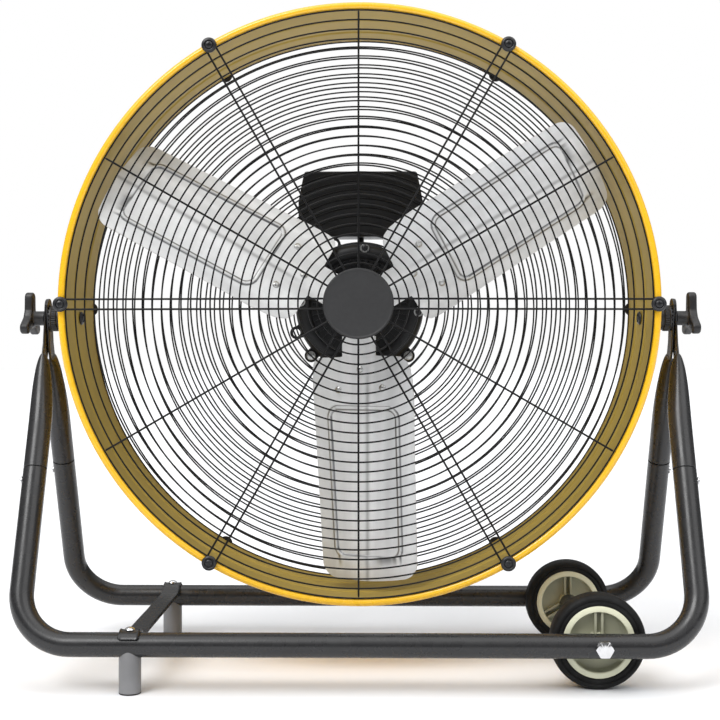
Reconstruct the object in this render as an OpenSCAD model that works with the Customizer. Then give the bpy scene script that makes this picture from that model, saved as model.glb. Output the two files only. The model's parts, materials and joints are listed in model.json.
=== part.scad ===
// Drum fan on a tilting A-frame stand with two wheels.
// X runs to the right, Y runs from the front of the fan to its back, Z is up.
// The origin is on the floor, below the middle of the tilt axis.

/* [Stand] */
// Outside diameter of the stand's tubes
tube_d = 25.4; // [23:0.1:26]
// Wall thickness of the stand's tubes
tube_wall = 1.5; // [1:0.1:2]
// Distance from the middle of the stand to each upright's centre line
upright_x = 353; // [352:0.5:354]
// Distance from the tilt axis to each floor bar, front to back
bar_y = 136; // [132:0.5:138]
// Height of the floor bars' centre lines
bar_z = 50; // [49:0.5:52]
// Height of the tilt axis
pivot_z = 391; // [387:0.5:392]
// Centre-line radius of the bend at each floor corner
bend_r = 56; // [45:1:70]
// Distance up a leg from the floor bar to its joint line
joint_v = 190; // [170:1:200]
// Distance up a leg to the start of the flattened end
flat_start = 240; // [235:1:260]
// Distance below the tilt axis of the bend in each leg's flattened end
knee_drop = 30; // [25:1:40]
// Distance from the tilt axis to that bend, front to back
knee_y = 5; // [3:0.5:8]
// Width of a leg's flattened end
plate_w = 20; // [18:0.5:24]
// Thickness of a leg's flattened end
plate_t = 2.8; // [2.4:0.1:3.2]
// Distance from the middle to the foot posts and the brace strap
foot_x = -235; // [-250:1:-200]
// Diameter of a foot post
foot_d = 23; // [20:0.5:24]
// Width of the brace strap
strap_w = 21; // [16:1:26]
// Thickness of the brace strap
strap_t = 3; // [2:0.5:4]

/* [Wheels] */
// Distance from the middle to the wheel axle
axle_x = 251; // [240:1:260]
// Diameter of the wheel axle
axle_d = 10; // [8:0.5:12]
// Tyre width
wheel_w = 25; // [20:1:26]
// Diameter of a wheel's cream rim
rim_d = 75.5; // [70:0.5:80]

/* [Drum] */
// Height of the drum's own axis above the tilt axis
drum_rise = 13; // [8:1:14]
// Outer radius of the drum at its rolled rims
drum_r = 327.5; // [324:0.5:328]
// Depth of the drum, front rim to back rim
drum_depth = 141; // [130:1:142]
// Thickness of a rolled rim
bead_d = 9; // [6:0.5:10]
// Thickness of the drum's wall
drum_wall = 1.2; // [0.8:0.1:1.6]

/* [Guards] */
// Wire thickness of the guard rings
ring_d = 1.8; // [1.5:0.1:2]
// Wire thickness of the guard spokes
spoke_d = 2.2; // [2:0.1:2.6]
// Spacing from one guard ring to the next
ring_pitch = 10.55; // [9:0.05:12]
// Radius of the front guard's largest ring
front_ring_r = 318.1; // [312:0.1:318.5]
// Number of rings in the front guard
front_rings = 27; // [10:1:27]
// Number of fine rings in the rear guard
rear_rings = 23; // [10:1:23]
// Gap between the two wires of a double spoke, middle to middle
pair_gap = 10.9; // [9:0.1:12]
// How far a guard's middle stands out from its edge, as a slope
guard_slope = 0.05; // [0:0.01:0.06]
// Radius of the disc in the middle of the front guard
cap_r = 38; // [30:1:42]
// Radius of the six cup washers on each rim
cup_r = 8.2; // [7:0.1:9]

/* [Rotor] */
// Distance from the tilt axis to the middle of the blades, towards the front
rotor_y = -24; // [-26:1:-23]
// Pitch of the blades
pitch = 25; // [15:1:28]
// Radius at the blade tips
tip_r = 307; // [280:1:310]
// Half the width of a blade's neck
neck_half = 20.5; // [15:0.5:24]
// Width of the trailing side of a blade at its shoulder
trail_root = 58.3; // [50:0.1:60]
// Width of the trailing side of a blade at its tip
trail_tip = 45.8; // [40:0.1:55]
// Width of the leading side of a blade at its shoulder
lead_root = 65.2; // [55:0.1:68]
// Width of the leading side of a blade at its tip
lead_tip = 69.8; // [55:0.1:70]
// Thickness of a blade
blade_t = 1.6; // [1.2:0.1:2]

/* [Motor] */
// Radius of the motor's housing
motor_r = 73; // [68:1:74]
// Front of the motor, from the tilt axis
motor_front = 0; // [-1:0.5:2]
// Back of the motor, from the tilt axis
motor_back = 80; // [70:1:80]
// Radius of the motor's shaft
shaft_r = 6; // [5:0.5:7]

/* [Control box] */
// Width of the control box
box_w = 150; // [120:1:160]
// Height of the control box
box_h = 79; // [60:1:80]
// Depth of the control box
box_d = 36; // [30:1:40]
// Wall thickness of the control box
box_wall = 2.2; // [1.5:0.1:3]

/* [Hidden] */

$fn = 64;
tube_r = tube_d / 2;
// Lean of each leg from upright, and its length from the floor bar to the bend
lean = atan((bar_y - knee_y) / (pivot_z - knee_drop - bar_z));
slope_l = norm([bar_y - knee_y, pivot_z - knee_drop - bar_z]);
// Lean of the flattened end above the bend, and its length up to the tilt axis
knee_lean = atan(knee_y / knee_drop);
plate_l = norm([knee_y, knee_drop]);
// Distance up a leg to the plain flat plate, clear of the other leg
flat_end = slope_l - 15;
insert_r = tube_r - tube_wall - 0.1;
insert_l = 40;
joint_screw_v = joint_v - 13;
joint_screw_r = 2;
// Thickness of a foot plug's flange
plug_t = 1.2;
plate_in_x = 352;
plate_gap = 0.1;
// Outer face of the outermost leg plate, where the knob bears
knob_x = plate_in_x + 2 * plate_t + 2 * plate_gap;
bolt_r = 4;
fit = 0.08;
drill = 0.2;

drum_z = pivot_z + drum_rise;
bead_r = bead_d / 2;
bead_ring_r = drum_r - bead_r;
wall_in_r = bead_ring_r - bead_r + 0.3;
wall_out_r = wall_in_r + drum_wall;
rim_y = drum_depth / 2;
// Spokes lie on the rims; rings sit just inside the spokes
spoke_y = rim_y + spoke_d / 2;
ring_step = (spoke_d + ring_d) / 2 + 0.03;
cup_y = rim_y + spoke_d + guard_slope * cup_r + 0.1;
rim_screw_r = 2.5;
spoke_in_r = 34;
// Sides of a ring wire's section
wire_sides = 10;

wheel_r = bar_z;
wheel_y = bar_y - tube_r - 16.1;
hub_half = 13.6;
washer_t = 2;
side_gap = 0.3;
axle_r = axle_d / 2;
axle_head_l = 7;

// Front of the motor's ears, from the front of the motor, and their bolts' radius
ear_front = 11;
ear_bolt_r = 2.5;
mount_y = motor_back + 0.2;
mount_t = 2.5;
box_y = 86.6;
box_z = drum_z + 88;
lid_t = 2.5;
knob_c = [18, box_z + 40];

function spoke_at(r) = spoke_y + guard_slope * (bead_ring_r - r);

// ---------- shared shapes ----------

// Puts local Z along a leg's slope; side is -1 for the front, 1 for the rear
module leg_frame(side) {
    translate([0, side * bar_y, bar_z]) rotate([side * lean, 0, 0]) children();
}

// Points local Z forwards (-Y) from a place on the drum's axis
module drum_frame(y) {
    translate([0, y, drum_z]) rotate([90, 0, 0]) children();
}

// Points local Z backwards (+Y) from a place on the drum's axis
module drum_frame_back(y) {
    translate([0, y, drum_z]) rotate([-90, 0, 0]) children();
}

// Points local Z outwards along the tilt axis on one side
module pivot_frame(lr, x) {
    translate([lr * x, 0, pivot_z]) rotate([0, lr * 90, 0]) children();
}

// A plain ring about local Z
module ring(r_out, r_in, h) {
    difference() {
        cylinder(r = r_out, h = h, $fn = 96);
        translate([0, 0, -1]) cylinder(r = r_in, h = h + 2, $fn = 96);
    }
}

// Repeats a shape at equal angles about local Z
module around(count, first = 0) {
    for (i = [0:count - 1]) rotate([0, 0, first + i * 360 / count]) children();
}

// A flat plate with round corners
module round_plate(size, r) {
    w = size[0];
    h = size[1];
    square([w, h - 2 * r], center = true);
    square([w - 2 * r, h], center = true);
    for (sx = [-1, 1]) for (sy = [-1, 1])
        translate([sx * (w / 2 - r), sy * (h / 2 - r)]) circle(r = r);
}

// ---------- stand ----------

// A solid U: two uprights, two bends and the floor bar
module u_solid(r, extra) {
    bar_half = upright_x - bend_r;
    for (s = [-1, 1]) {
        translate([s * upright_x, 0, bend_r]) cylinder(r = r, h = joint_v - bend_r + extra);
        translate([s * bar_half, 0, bend_r]) rotate([90, 0, 0]) rotate([0, 0, 225 + s * 45])
            rotate_extrude(angle = 90) translate([bend_r, 0]) circle(r = r);
    }
    translate([-bar_half, 0, 0]) rotate([0, 90, 0]) cylinder(r = r, h = 2 * bar_half);
}

module base_tube(side) {
    color([0.24, 0.24, 0.25]) difference() {
        leg_frame(side) difference() {
            u_solid(tube_r, 0);
            u_solid(tube_r - tube_wall, 1);
            for (s = [-1, 1]) translate([s * upright_x, 0, joint_screw_v])
                rotate([0, s * 90, 0]) cylinder(r = joint_screw_r + drill / 2, h = tube_d);
        }
        translate([axle_x, side * bar_y - tube_d, bar_z]) rotate([-90, 0, 0])
            cylinder(r = axle_r + drill, h = 2 * tube_d);
        translate([foot_x, side * bar_y, bar_z]) cylinder(r = bolt_r - 1.3, h = tube_d);
    }
}

// A strip with round ends, from below the pivot to just above it
module plate_outline(below, half) {
    rise = 12.7;
    translate([-half, -below]) square([2 * half, below + rise]);
    for (y = [-below, rise]) translate([0, y]) circle(r = half);
}

// Local Z runs along the flattened end, from the bend to the pivot
module plate_frame(side) {
    translate([0, 0, slope_l]) rotate([side * (knee_lean - lean), 0, 0]) children();
}

// The upper leg: a swaged end, a round tube and a flattened end with the pivot hole
module upper_leg(side, lr) {
    layer = side < 0 ? plate_in_x + plate_t + 2 * plate_gap : plate_in_x + plate_gap;
    plate_x = lr * (layer + plate_t / 2 - upright_x);
    color([0.26, 0.26, 0.27]) leg_frame(side) translate([lr * upright_x, 0, 0]) difference() {
        union() {
            translate([0, 0, joint_v]) cylinder(r = tube_r, h = flat_start - 0.75 - joint_v);
            translate([0, 0, joint_v - insert_l]) cylinder(r = insert_r, h = insert_l);
            hull() {
                translate([0, 0, flat_start - 1]) cylinder(r = tube_r + 0.2, h = 0.5, $fn = 32);
                translate([plate_x, 0, flat_end])
                    cube([plate_t - 0.08, plate_w - 0.08, 1], center = true);
            }
            translate([plate_x - plate_t / 2, -plate_w / 2, flat_end])
                cube([plate_t, plate_w, slope_l - flat_end]);
            plate_frame(side) translate([plate_x - plate_t / 2, 0, plate_l])
                rotate([90, 0, 90]) linear_extrude(plate_t) plate_outline(plate_l, plate_w / 2);
        }
        translate([0, 0, joint_v - insert_l - 1])
            cylinder(r = insert_r - tube_wall, h = flat_start - joint_v + insert_l - 4);
        plate_frame(side) translate([plate_x - tube_d, 0, plate_l]) rotate([0, 90, 0])
            cylinder(r = bolt_r + fit, h = 2 * tube_d);
        translate([0, 0, joint_screw_v]) rotate([0, lr * 90, 0])
            cylinder(r = joint_screw_r + drill / 2, h = tube_d);
    }
}

module leg_joint_screws() {
    head_r = 4;
    color("silver") for (side = [-1, 1]) leg_frame(side) for (s = [-1, 1])
        translate([s * (upright_x + tube_r), 0, joint_screw_v]) rotate([0, s * 90, 0]) {
            translate([0, 0, -8]) cylinder(r = joint_screw_r, h = 8.5);
            translate([0, 0, 0.2]) cylinder(r = head_r, h = 1.4);
            translate([0, 0, 1.6]) cylinder(r1 = head_r, r2 = head_r - 1.5, h = 1.4);
        }
}

module foot_post(side) {
    color([0.55, 0.55, 0.56]) difference() {
        translate([foot_x, side * bar_y, plug_t]) ring(foot_d / 2, foot_d / 2 - 2, bar_z - plug_t);
        translate([foot_x - foot_d, side * bar_y, bar_z]) rotate([0, 90, 0])
            cylinder(r = tube_r + 0.05, h = 2 * foot_d);
    }
}

module foot_plugs() {
    color([0.1, 0.1, 0.1]) for (side = [-1, 1]) translate([foot_x, side * bar_y, 0]) {
        cylinder(r = foot_d / 2, h = plug_t - 0.1);
        translate([0, 0, plug_t - 0.1]) cylinder(r = foot_d / 2 - 2.1, h = 12);
    }
}

// Half of a ring-shaped saddle over a tube, between two angles under 180 apart
module saddle(a0, a1) {
    r_in = tube_r + 0.1;
    r_out = r_in + strap_t;
    mid = (a0 + a1) / 2;
    far = 2 * r_out;
    difference() {
        circle(r = r_out);
        circle(r = r_in);
        polygon([
            [0, 0], far * [cos(a0), sin(a0)], far * [cos(mid - 90), sin(mid - 90)],
            -far * [cos(mid), sin(mid)],
            far * [cos(mid + 90), sin(mid + 90)], far * [cos(a1), sin(a1)]
        ]);
    }
}

module brace_strap() {
    // Angle over each tube where the saddle turns into the straight middle
    turn = 48;
    r_out = tube_r + 0.1 + strap_t;
    y_in = bar_y - r_out * cos(turn);
    z_top = r_out * sin(turn);
    drop = 6;
    run = 16;
    color([0.3, 0.3, 0.31]) difference() {
        translate([foot_x - strap_w / 2, 0, bar_z]) rotate([90, 0, 90]) linear_extrude(strap_w) {
            for (s = [-1, 1]) mirror([s < 0 ? 1 : 0, 0]) {
                translate([bar_y, 0]) saddle(32, 180 - turn);
                polygon([
                    [y_in, z_top], [y_in - run, z_top - drop], [0, z_top - drop],
                    [0, z_top - drop - strap_t], [y_in - run + 1, z_top - drop - strap_t],
                    [y_in + strap_t * cos(turn), z_top - strap_t * sin(turn)]
                ]);
            }
        }
        for (side = [-1, 1]) translate([foot_x, side * bar_y, bar_z])
            cylinder(r = bolt_r - 1.3, h = tube_d);
    }
}

module brace_screws() {
    top = bar_z + tube_r + strap_t + 0.2;
    color("silver") for (side = [-1, 1]) translate([foot_x, side * bar_y, 0]) {
        translate([0, 0, top - 14]) cylinder(r = bolt_r - 1.5, h = 14.5);
        difference() {
            translate([0, 0, top - 3.2]) sphere(r = 6.6);
            translate([0, 0, top - 20]) cylinder(r = 10, h = 20);
        }
    }
}

// ---------- wheels ----------

module hex_prism(across, h) {
    cylinder(r = across / sqrt(3), h = h, $fn = 6);
}

module axle_bolt() {
    face = bar_y + tube_r;
    color("silver") translate([axle_x, 0, bar_z]) rotate([90, 0, 0]) {
        translate([0, 0, face]) hex_prism(16, axle_head_l);
        translate([0, 0, -face - axle_head_l]) cylinder(r = axle_r, h = 2 * face + axle_head_l);
    }
}

module axle_nut() {
    color("silver") translate([axle_x, bar_y + tube_r, bar_z]) rotate([-90, 0, 0]) difference() {
        hex_prism(16, axle_head_l - 0.5);
        translate([0, 0, -1]) cylinder(r = axle_r + 0.02, h = axle_head_l + 2);
    }
}

module axle_spacer() {
    half = wheel_y - hub_half - side_gap - washer_t - 0.05;
    color([0.2, 0.2, 0.2]) translate([axle_x, half, bar_z]) rotate([90, 0, 0])
        ring(11, axle_r + 0.3, 2 * half);
}

module axle_washers() {
    outer = wheel_y + hub_half + side_gap;
    inner = wheel_y - hub_half - side_gap - washer_t;
    color("silver") for (side = [-1, 1]) for (y = [outer, inner])
        translate([axle_x, side * (y + washer_t / 2), bar_z]) rotate([90, 0, 0])
            translate([0, 0, -washer_t / 2]) ring(10, axle_r + 0.2, washer_t);
}

module wheel_place(side) {
    translate([axle_x, side * wheel_y, bar_z]) rotate([90, 0, 0]) children();
}

// Rim, recessed web, boss and three double ribs
module wheel_hub(side) {
    half = wheel_w / 2;
    rim_r = rim_d / 2;
    web_r = 31;
    rib_gap = 7;
    color([0.87, 0.87, 0.76]) wheel_place(side) difference() {
        union() {
            translate([0, 0, -half]) ring(rim_r, web_r, wheel_w);
            translate([0, 0, -3]) cylinder(r = web_r + 1, h = 6, $fn = 96);
            translate([0, 0, -hub_half]) cylinder(r = 9, h = 2 * hub_half);
            around(3, 90) for (s = [-1, 1]) translate([5, s * rib_gap / 2 - 1.2, -half + 2])
                cube([web_r - 4.5, 2.4, wheel_w - 4]);
        }
        translate([0, 0, -20]) cylinder(r = axle_r + fit, h = 40);
    }
}

// Solid tyre with a crowned tread and a stepped groove in each side
module wheel_tyre(side) {
    half = wheel_w / 2;
    r_in = rim_d / 2 + 0.02;
    color([0.07, 0.07, 0.07]) wheel_place(side) rotate_extrude($fn = 128) polygon([
        [r_in, -half + 1], [r_in + 2, -half], [r_in + 4, -half], [r_in + 4.4, -half + 0.9],
        [r_in + 5.8, -half + 0.9], [r_in + 6.2, -half], [wheel_r - 3.5, -half],
        [wheel_r - 1, -half + 2.6], [wheel_r, -half + 6], [wheel_r, half - 6],
        [wheel_r - 1, half - 2.6], [wheel_r - 3.5, half], [r_in + 6.2, half],
        [r_in + 5.8, half - 0.9], [r_in + 4.4, half - 0.9], [r_in + 4, half],
        [r_in + 2, half], [r_in, half - 1]
    ]);
}

// ---------- drum and guards ----------

module drum_shell() {
    rib_y = 27;
    rib_r = 2.2;
    mid_r = (wall_in_r + wall_out_r) / 2;
    color([0.95, 0.72, 0.07]) difference() {
        drum_frame(0) rotate_extrude($fn = 180) {
            translate([wall_in_r, -rim_y + bead_r]) square([drum_wall, drum_depth - bead_d]);
            for (s = [-1, 1]) {
                translate([bead_ring_r, s * (rim_y - bead_r)]) circle(r = bead_r);
                translate([mid_r, s * rib_y]) circle(r = rib_r);
            }
        }
        for (lr = [-1, 1]) pivot_frame(lr, 300) cylinder(r = bolt_r + drill, h = 40);
        for (side = [-1, 1]) drum_frame(0) around(6)
            translate([bead_ring_r, 0, side * rim_y]) translate([0, 0, -13])
                cylinder(r = rim_screw_r + 0.05, h = 26);
    }
}

// One wire ring lying inside a guard's cone; side is -1 front, 1 rear
module wire_ring(side, r, wire) {
    drum_frame(side * (spoke_at(r) - ring_step - (wire - ring_d) / 2))
        rotate_extrude($fn = 180) translate([r, 0]) circle(r = wire / 2, $fn = wire_sides);
}

// One straight spoke from r0 to r1 along a guard's cone, beside its own radius
module wire_spoke(side, angle, offset, r0, r1, wire) {
    dip = atan(guard_slope);
    l = (r1 - r0) / cos(dip);
    drum_frame(0) rotate([0, 0, angle])
        translate([r0, offset, -side * (spoke_at(r0) + (wire - spoke_d) / 2)])
            rotate([0, 90 - side * dip, 0]) cylinder(r = wire / 2, h = l, $fn = 16);
}

module front_guard_rings() {
    color([0.05, 0.05, 0.05]) for (i = [0:front_rings - 1])
        wire_ring(-1, front_ring_r - i * ring_pitch, ring_d);
}

module front_guard_spokes() {
    color([0.05, 0.05, 0.05]) for (i = [0:5]) {
        wire_spoke(-1, 30 + 60 * i, 0, spoke_in_r, 315, spoke_d);
        for (s = [-1, 1])
            wire_spoke(-1, 60 * i, s * pair_gap / 2, spoke_in_r, bead_ring_r + 2, spoke_d);
    }
}

// Disc behind the spokes' inner ends
module front_hub_plate() {
    plate_r = 36;
    y = spoke_at(plate_r) - spoke_d / 2 - 0.1;
    color([0.08, 0.08, 0.08]) drum_frame(-y + 1.2) cylinder(r = plate_r, h = 1.2);
}

// Shallow round cap over the middle of the front guard
module front_guard_cap() {
    y = spoke_at(spoke_in_r) + spoke_d / 2 + 0.1;
    color([0.2, 0.2, 0.2]) drum_frame(-y) rotate_extrude($fn = 128) polygon([
        [0, 0], [cap_r, 0], [cap_r, 3.2], [cap_r - 1, 4.2], [cap_r - 2.6, 4.2],
        [cap_r - 3.4, 3.4], [0, 3.4]
    ]);
}

// Cup washers over both rims, with the wire ends below the front ones
module cup_washers() {
    color([0.12, 0.12, 0.13]) for (side = [-1, 1]) for (i = [0:5]) rim_bolt_frame(side, 60 * i, cup_y)
        rotate_extrude() polygon([
            [rim_screw_r + 0.1, 0], [cup_r, 0], [cup_r, 1.6], [cup_r - 1.2, 3],
            [cup_r - 3, 3.2], [cup_r - 3.6, 1.6], [rim_screw_r + 0.1, 1.6]
        ]);
}

// Local origin on a rim bolt's axis at distance y, local Z pointing off the drum
module rim_bolt_frame(side, angle, y) {
    if (side < 0) drum_frame(-y) rotate([0, 0, angle]) translate([bead_ring_r, 0, 0]) children();
    else drum_frame_back(y) rotate([0, 0, angle]) translate([bead_ring_r, 0, 0]) children();
}

module rim_screws() {
    head_r = 4;
    color([0.1, 0.1, 0.1]) for (side = [-1, 1]) for (i = [0:5])
        rim_bolt_frame(side, 60 * i, cup_y + 1.7) difference() {
            union() {
                translate([0, 0, -12.5]) cylinder(r = rim_screw_r, h = 12.6);
                cylinder(r1 = head_r, r2 = head_r - 0.9, h = 2.2);
            }
            for (a = [0, 90]) rotate([0, 0, a]) translate([-2.2, -0.5, 1]) cube([4.4, 1, 2]);
        }
}

// Fine rings, and one heavier ring lying on the rim under the cup washers
module rear_guard_rings() {
    edge_wire = spoke_d;
    color([0.05, 0.05, 0.05]) {
        for (i = [0:rear_rings - 1])
            wire_ring(1, front_ring_r - 5.7 - i * ring_pitch, ring_d);
        drum_frame(spoke_y) rotate_extrude($fn = 180)
            translate([bead_ring_r - rim_screw_r - edge_wire / 2 - 0.2, 0])
                circle(r = edge_wire / 2, $fn = wire_sides);
    }
}

module rear_guard_spokes() {
    edge_r = bead_ring_r - rim_screw_r - spoke_d - 0.3;
    color([0.05, 0.05, 0.05]) for (i = [0:2])
        wire_spoke(1, 30 + 120 * i, 0, 70, edge_r, spoke_d);
}

// ---------- tilt pivot ----------

// Spacers shaped to the drum's wall on one end
module pivot_bosses() {
    boss_r = 13.5;
    color([0.13, 0.13, 0.14]) for (lr = [-1, 1]) difference() {
        pivot_frame(lr, 312) difference() {
            cylinder(r = boss_r, h = 31);
            translate([0, 0, -1]) cylinder(r = bolt_r + drill, h = 40);
        }
        drum_frame(50) cylinder(r = wall_out_r + 0.1, h = 100, $fn = 180);
    }
}

// Collars with a ring of face teeth that bite on the leg's plate
module toothed_collars() {
    collar_r = 14.7;
    l = 8.6;
    teeth = 20;
    color([0.1, 0.1, 0.1]) for (lr = [-1, 1]) pivot_frame(lr, 343.1) difference() {
        ring(collar_r, bolt_r + drill, l);
        around(teeth) translate([collar_r, 0, l + 0.2]) rotate([45, 0, 0])
            cube([8, 2.3, 2.3], center = true);
    }
}

// Round-headed bolts from inside the drum out to the knobs
module pivot_bolts() {
    head_x = wall_in_r - 0.9;
    color([0.2, 0.2, 0.2]) for (lr = [-1, 1]) {
        pivot_frame(lr, head_x - 2) cylinder(r = bolt_r, h = knob_x + 18 - head_x);
        pivot_frame(lr, head_x - 3) cylinder(r1 = 5.5, r2 = 7.5, h = 1.6);
        pivot_frame(lr, head_x - 1.4) cylinder(r = 7.5, h = 1);
    }
}

// Three-lobed clamping knob on a round stem
module tilt_knob(lr) {
    lobe_r = 6.5;
    reach = 29.5;
    stem_l = 12.6;
    lobe_t = 10;
    bolt_end = 18;
    color([0.15, 0.15, 0.16]) pivot_frame(lr, knob_x + side_gap) difference() {
        union() {
            cylinder(r = 8.2, h = stem_l + 1);
            translate([0, 0, stem_l]) linear_extrude(lobe_t) {
                circle(r = 11);
                around(3, lr < 0 ? 0 : 180) {
                    translate([reach - lobe_r, 0]) circle(r = lobe_r);
                    polygon([[0, -8.6], [reach - lobe_r, -6.4], [reach - lobe_r, 6.4], [0, 8.6]]);
                }
            }
        }
        translate([0, 0, -1]) cylinder(r = bolt_r + fit, h = bolt_end + 1.5);
    }
}

// ---------- motor ----------

// The four through bolts' places round the motor's axis
module motor_bolt_places() {
    around(4, 5) translate([motor_r - 5.8, 0, 0]) children();
}

// The four ears' places round the motor's axis
module motor_ear_places() {
    around(4, 45) translate([motor_r + 5.5, 0, 0]) children();
}

// Disc on the rear guard's spokes that carries the motor
module motor_mount_plate() {
    color([0.08, 0.08, 0.08]) drum_frame_back(mount_y) difference() {
        cylinder(r = motor_r - 1, h = mount_t, $fn = 96);
        translate([0, 0, -1]) cylinder(r = 17, h = 5);
        motor_bolt_places() translate([0, 0, -1]) cylinder(r = 2.2, h = 5);
        translate([0, -58, -1]) cylinder(r = 5.5, h = 5);
    }
}

module motor_housing() {
    front = motor_front + 17;
    color([0.09, 0.09, 0.09]) drum_frame_back(front + 0.1)
        ring(motor_r, motor_r - 2, motor_back - 15 - front - 0.2);
}

// Front bell with radial vent slots and four lugs
module motor_front_bell() {
    bell_h = 17;
    slots = 48;
    lug_x = motor_r + 5;
    color([0.07, 0.07, 0.07]) drum_frame_back(motor_front) difference() {
        union() {
            rotate_extrude($fn = 96) polygon([
                [shaft_r + 1, 2], [20, 0], [motor_r - 15, 0], [motor_r - 4, 3], [motor_r, 8],
                [motor_r, bell_h], [motor_r - 10, bell_h], [motor_r - 10, 8], [motor_r - 16, 4],
                [19.5, 4], [19.5, 15], [shaft_r + 10.1, 15], [shaft_r + 10.1, 5], [shaft_r + 1, 5]
            ]);
            motor_bolt_places() cylinder(r = 4.8, h = 9);
            around(4, -22) {
                translate([lug_x, 0, bell_h - 6]) cylinder(r = 7.4, h = 5);
                translate([motor_r - 3, -6, bell_h - 6]) cube([7, 12, 5]);
            }
            motor_ear_places() {
                translate([0, 0, ear_front]) cylinder(r = 7.6, h = 5);
                translate([-8, -7, ear_front]) cube([8, 14, 5]);
            }
        }
        motor_ear_places() cylinder(r = ear_bolt_r + drill, h = bell_h + 2);
        around(slots, 3.75) translate([42, -1.5, -1]) cube([12, 3, 7]);
        around(4, -22) translate([lug_x, 0, bell_h - 8]) cylinder(r = 4.2, h = 9);
        motor_bolt_places() translate([0, 0, -1]) cylinder(r = 2.2, h = bell_h + 2);
    }
}

module motor_rear_bell() {
    h = 15;
    color([0.07, 0.07, 0.07]) drum_frame_back(motor_back - h) difference() {
        rotate_extrude($fn = 96) polygon([
            [motor_r - 10, 0], [motor_r, 0], [motor_r, h - 3], [motor_r - 3, h], [17, h],
            [16.1, h], [16.1, 1], [19.5, 1], [19.5, h - 4], [motor_r - 12, h - 4], [motor_r - 10, h - 6]
        ]);
        motor_bolt_places() translate([0, 0, -1]) cylinder(r = 2.2, h = h + 2);
        translate([0, -58, h / 2]) cylinder(r = 5.5, h = h);
    }
}

module motor_stator() {
    color([0.5, 0.5, 0.52]) drum_frame_back(22) ring(motor_r - 10.2, 42.5, 32);
}

module motor_windings() {
    color([0.72, 0.4, 0.2]) for (y = [15, 54.1]) drum_frame_back(y) ring(motor_r - 16, 44, 6.8);
}

module motor_through_bolts() {
    l = motor_back + mount_t - motor_front + 8;
    color([0.16, 0.16, 0.17]) drum_frame_back(motor_front) motor_bolt_places() {
        translate([0, 0, -0.2]) cylinder(r = 2, h = l);
        translate([0, 0, -3]) cylinder(r = 3.8, h = 2.9);
        translate([0, 0, motor_back + mount_t - motor_front + 0.4]) hex_prism(7, 3.4);
    }
}

// Short flanged bolts in the front bell's ears, heads to the front
module motor_ear_bolts() {
    washer_t = 1.2;
    color("silver") drum_frame_back(motor_front) motor_ear_places() {
        translate([0, 0, ear_front - 0.1 - washer_t]) cylinder(r = 5.2, h = washer_t);
        translate([0, 0, ear_front - washer_t - 4]) hex_prism(8, 4);
        translate([0, 0, ear_front - washer_t]) cylinder(r = ear_bolt_r, h = 9);
    }
}

module bearings() {
    color("silver") for (y = [motor_front + 5.1, motor_back - 13.9])
        drum_frame_back(y) ring(16, shaft_r + 0.06, 9.8);
}

module motor_shaft() {
    front = rotor_y - 22;
    color("silver") drum_frame_back(front) cylinder(r = shaft_r, h = motor_back - 3 - front);
}

module motor_rotor() {
    color([0.6, 0.6, 0.62]) drum_frame_back(22) ring(41.9, shaft_r + 0.01, 32);
}

// ---------- blades ----------

// Puts a flat shape, drawn as radius and width, on the arm at one angle
module blade_frame(angle, lift, t) {
    translate([0, rotor_y, drum_z]) rotate([0, -angle, 0]) rotate([pitch, 0, 0])
        rotate([90, 0, 0]) translate([0, 0, lift]) linear_extrude(t) children();
}

// Pressed-steel hub: a centre disc, a boss and three pitched arms
module blade_hub() {
    arm_t = 2.4;
    color([0.78, 0.79, 0.8]) difference() {
        union() {
            drum_frame_back(rotor_y - 4) cylinder(r = 32, h = 5);
            drum_frame_back(rotor_y - 12) cylinder(r = 14, h = 24);
            for (a = [30, 150, 270]) blade_frame(a, -arm_t, arm_t) polygon([
                [8, -18], [60, -18], [84, -34], [103, -34], [103, 36], [84, 36], [60, 18], [8, 18]
            ]);
        }
        drum_frame_back(rotor_y - 20) cylinder(r = shaft_r + 0.01, h = 50);
        for (a = [30, 150, 270]) blade_frame(a, -2 * arm_t, 4 * arm_t) rivet_places() circle(r = 2.3);
    }
}

module rivet_places() {
    for (p = [[93.8, -25.7], [91.3, 29.1], [70.7, 1.7]]) translate(p) children();
}

// Paddle outline: a short neck, square shoulders and a round tip
module paddle_outline() {
    corner = 14;
    shoulder = 58;
    in_r = 26;
    near_tip = tip_r - corner;
    trail_y = corner - trail_tip;
    lead_y = lead_tip - corner;
    trail_x = sqrt(near_tip * near_tip - trail_y * trail_y);
    lead_x = sqrt(near_tip * near_tip - lead_y * lead_y);
    polygon([
        [in_r, -neck_half], [shoulder, -neck_half], [shoulder - 1, 15 - trail_root],
        [shoulder + 0.5, 7 - trail_root], [shoulder + 6, 1.5 - trail_root],
        [shoulder + 17, -trail_root], [trail_x, -trail_tip], [lead_x, lead_tip],
        [shoulder + 46, lead_root + 1.6], [shoulder + 25, lead_root],
        [shoulder + 12, lead_root - 2.2], [shoulder + 3, lead_root - 7.4],
        [shoulder - 3, lead_root - 16], [shoulder - 3, lead_root - 24],
        [shoulder, neck_half], [in_r, neck_half]
    ]);
    translate([trail_x, trail_y]) circle(r = corner);
    translate([lead_x, lead_y]) circle(r = corner);
    intersection() {
        circle(r = tip_r, $fn = 180);
        polygon([[0, 0], 2 * [trail_x, trail_y], 2 * [lead_x, lead_y]]);
    }
}

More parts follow.
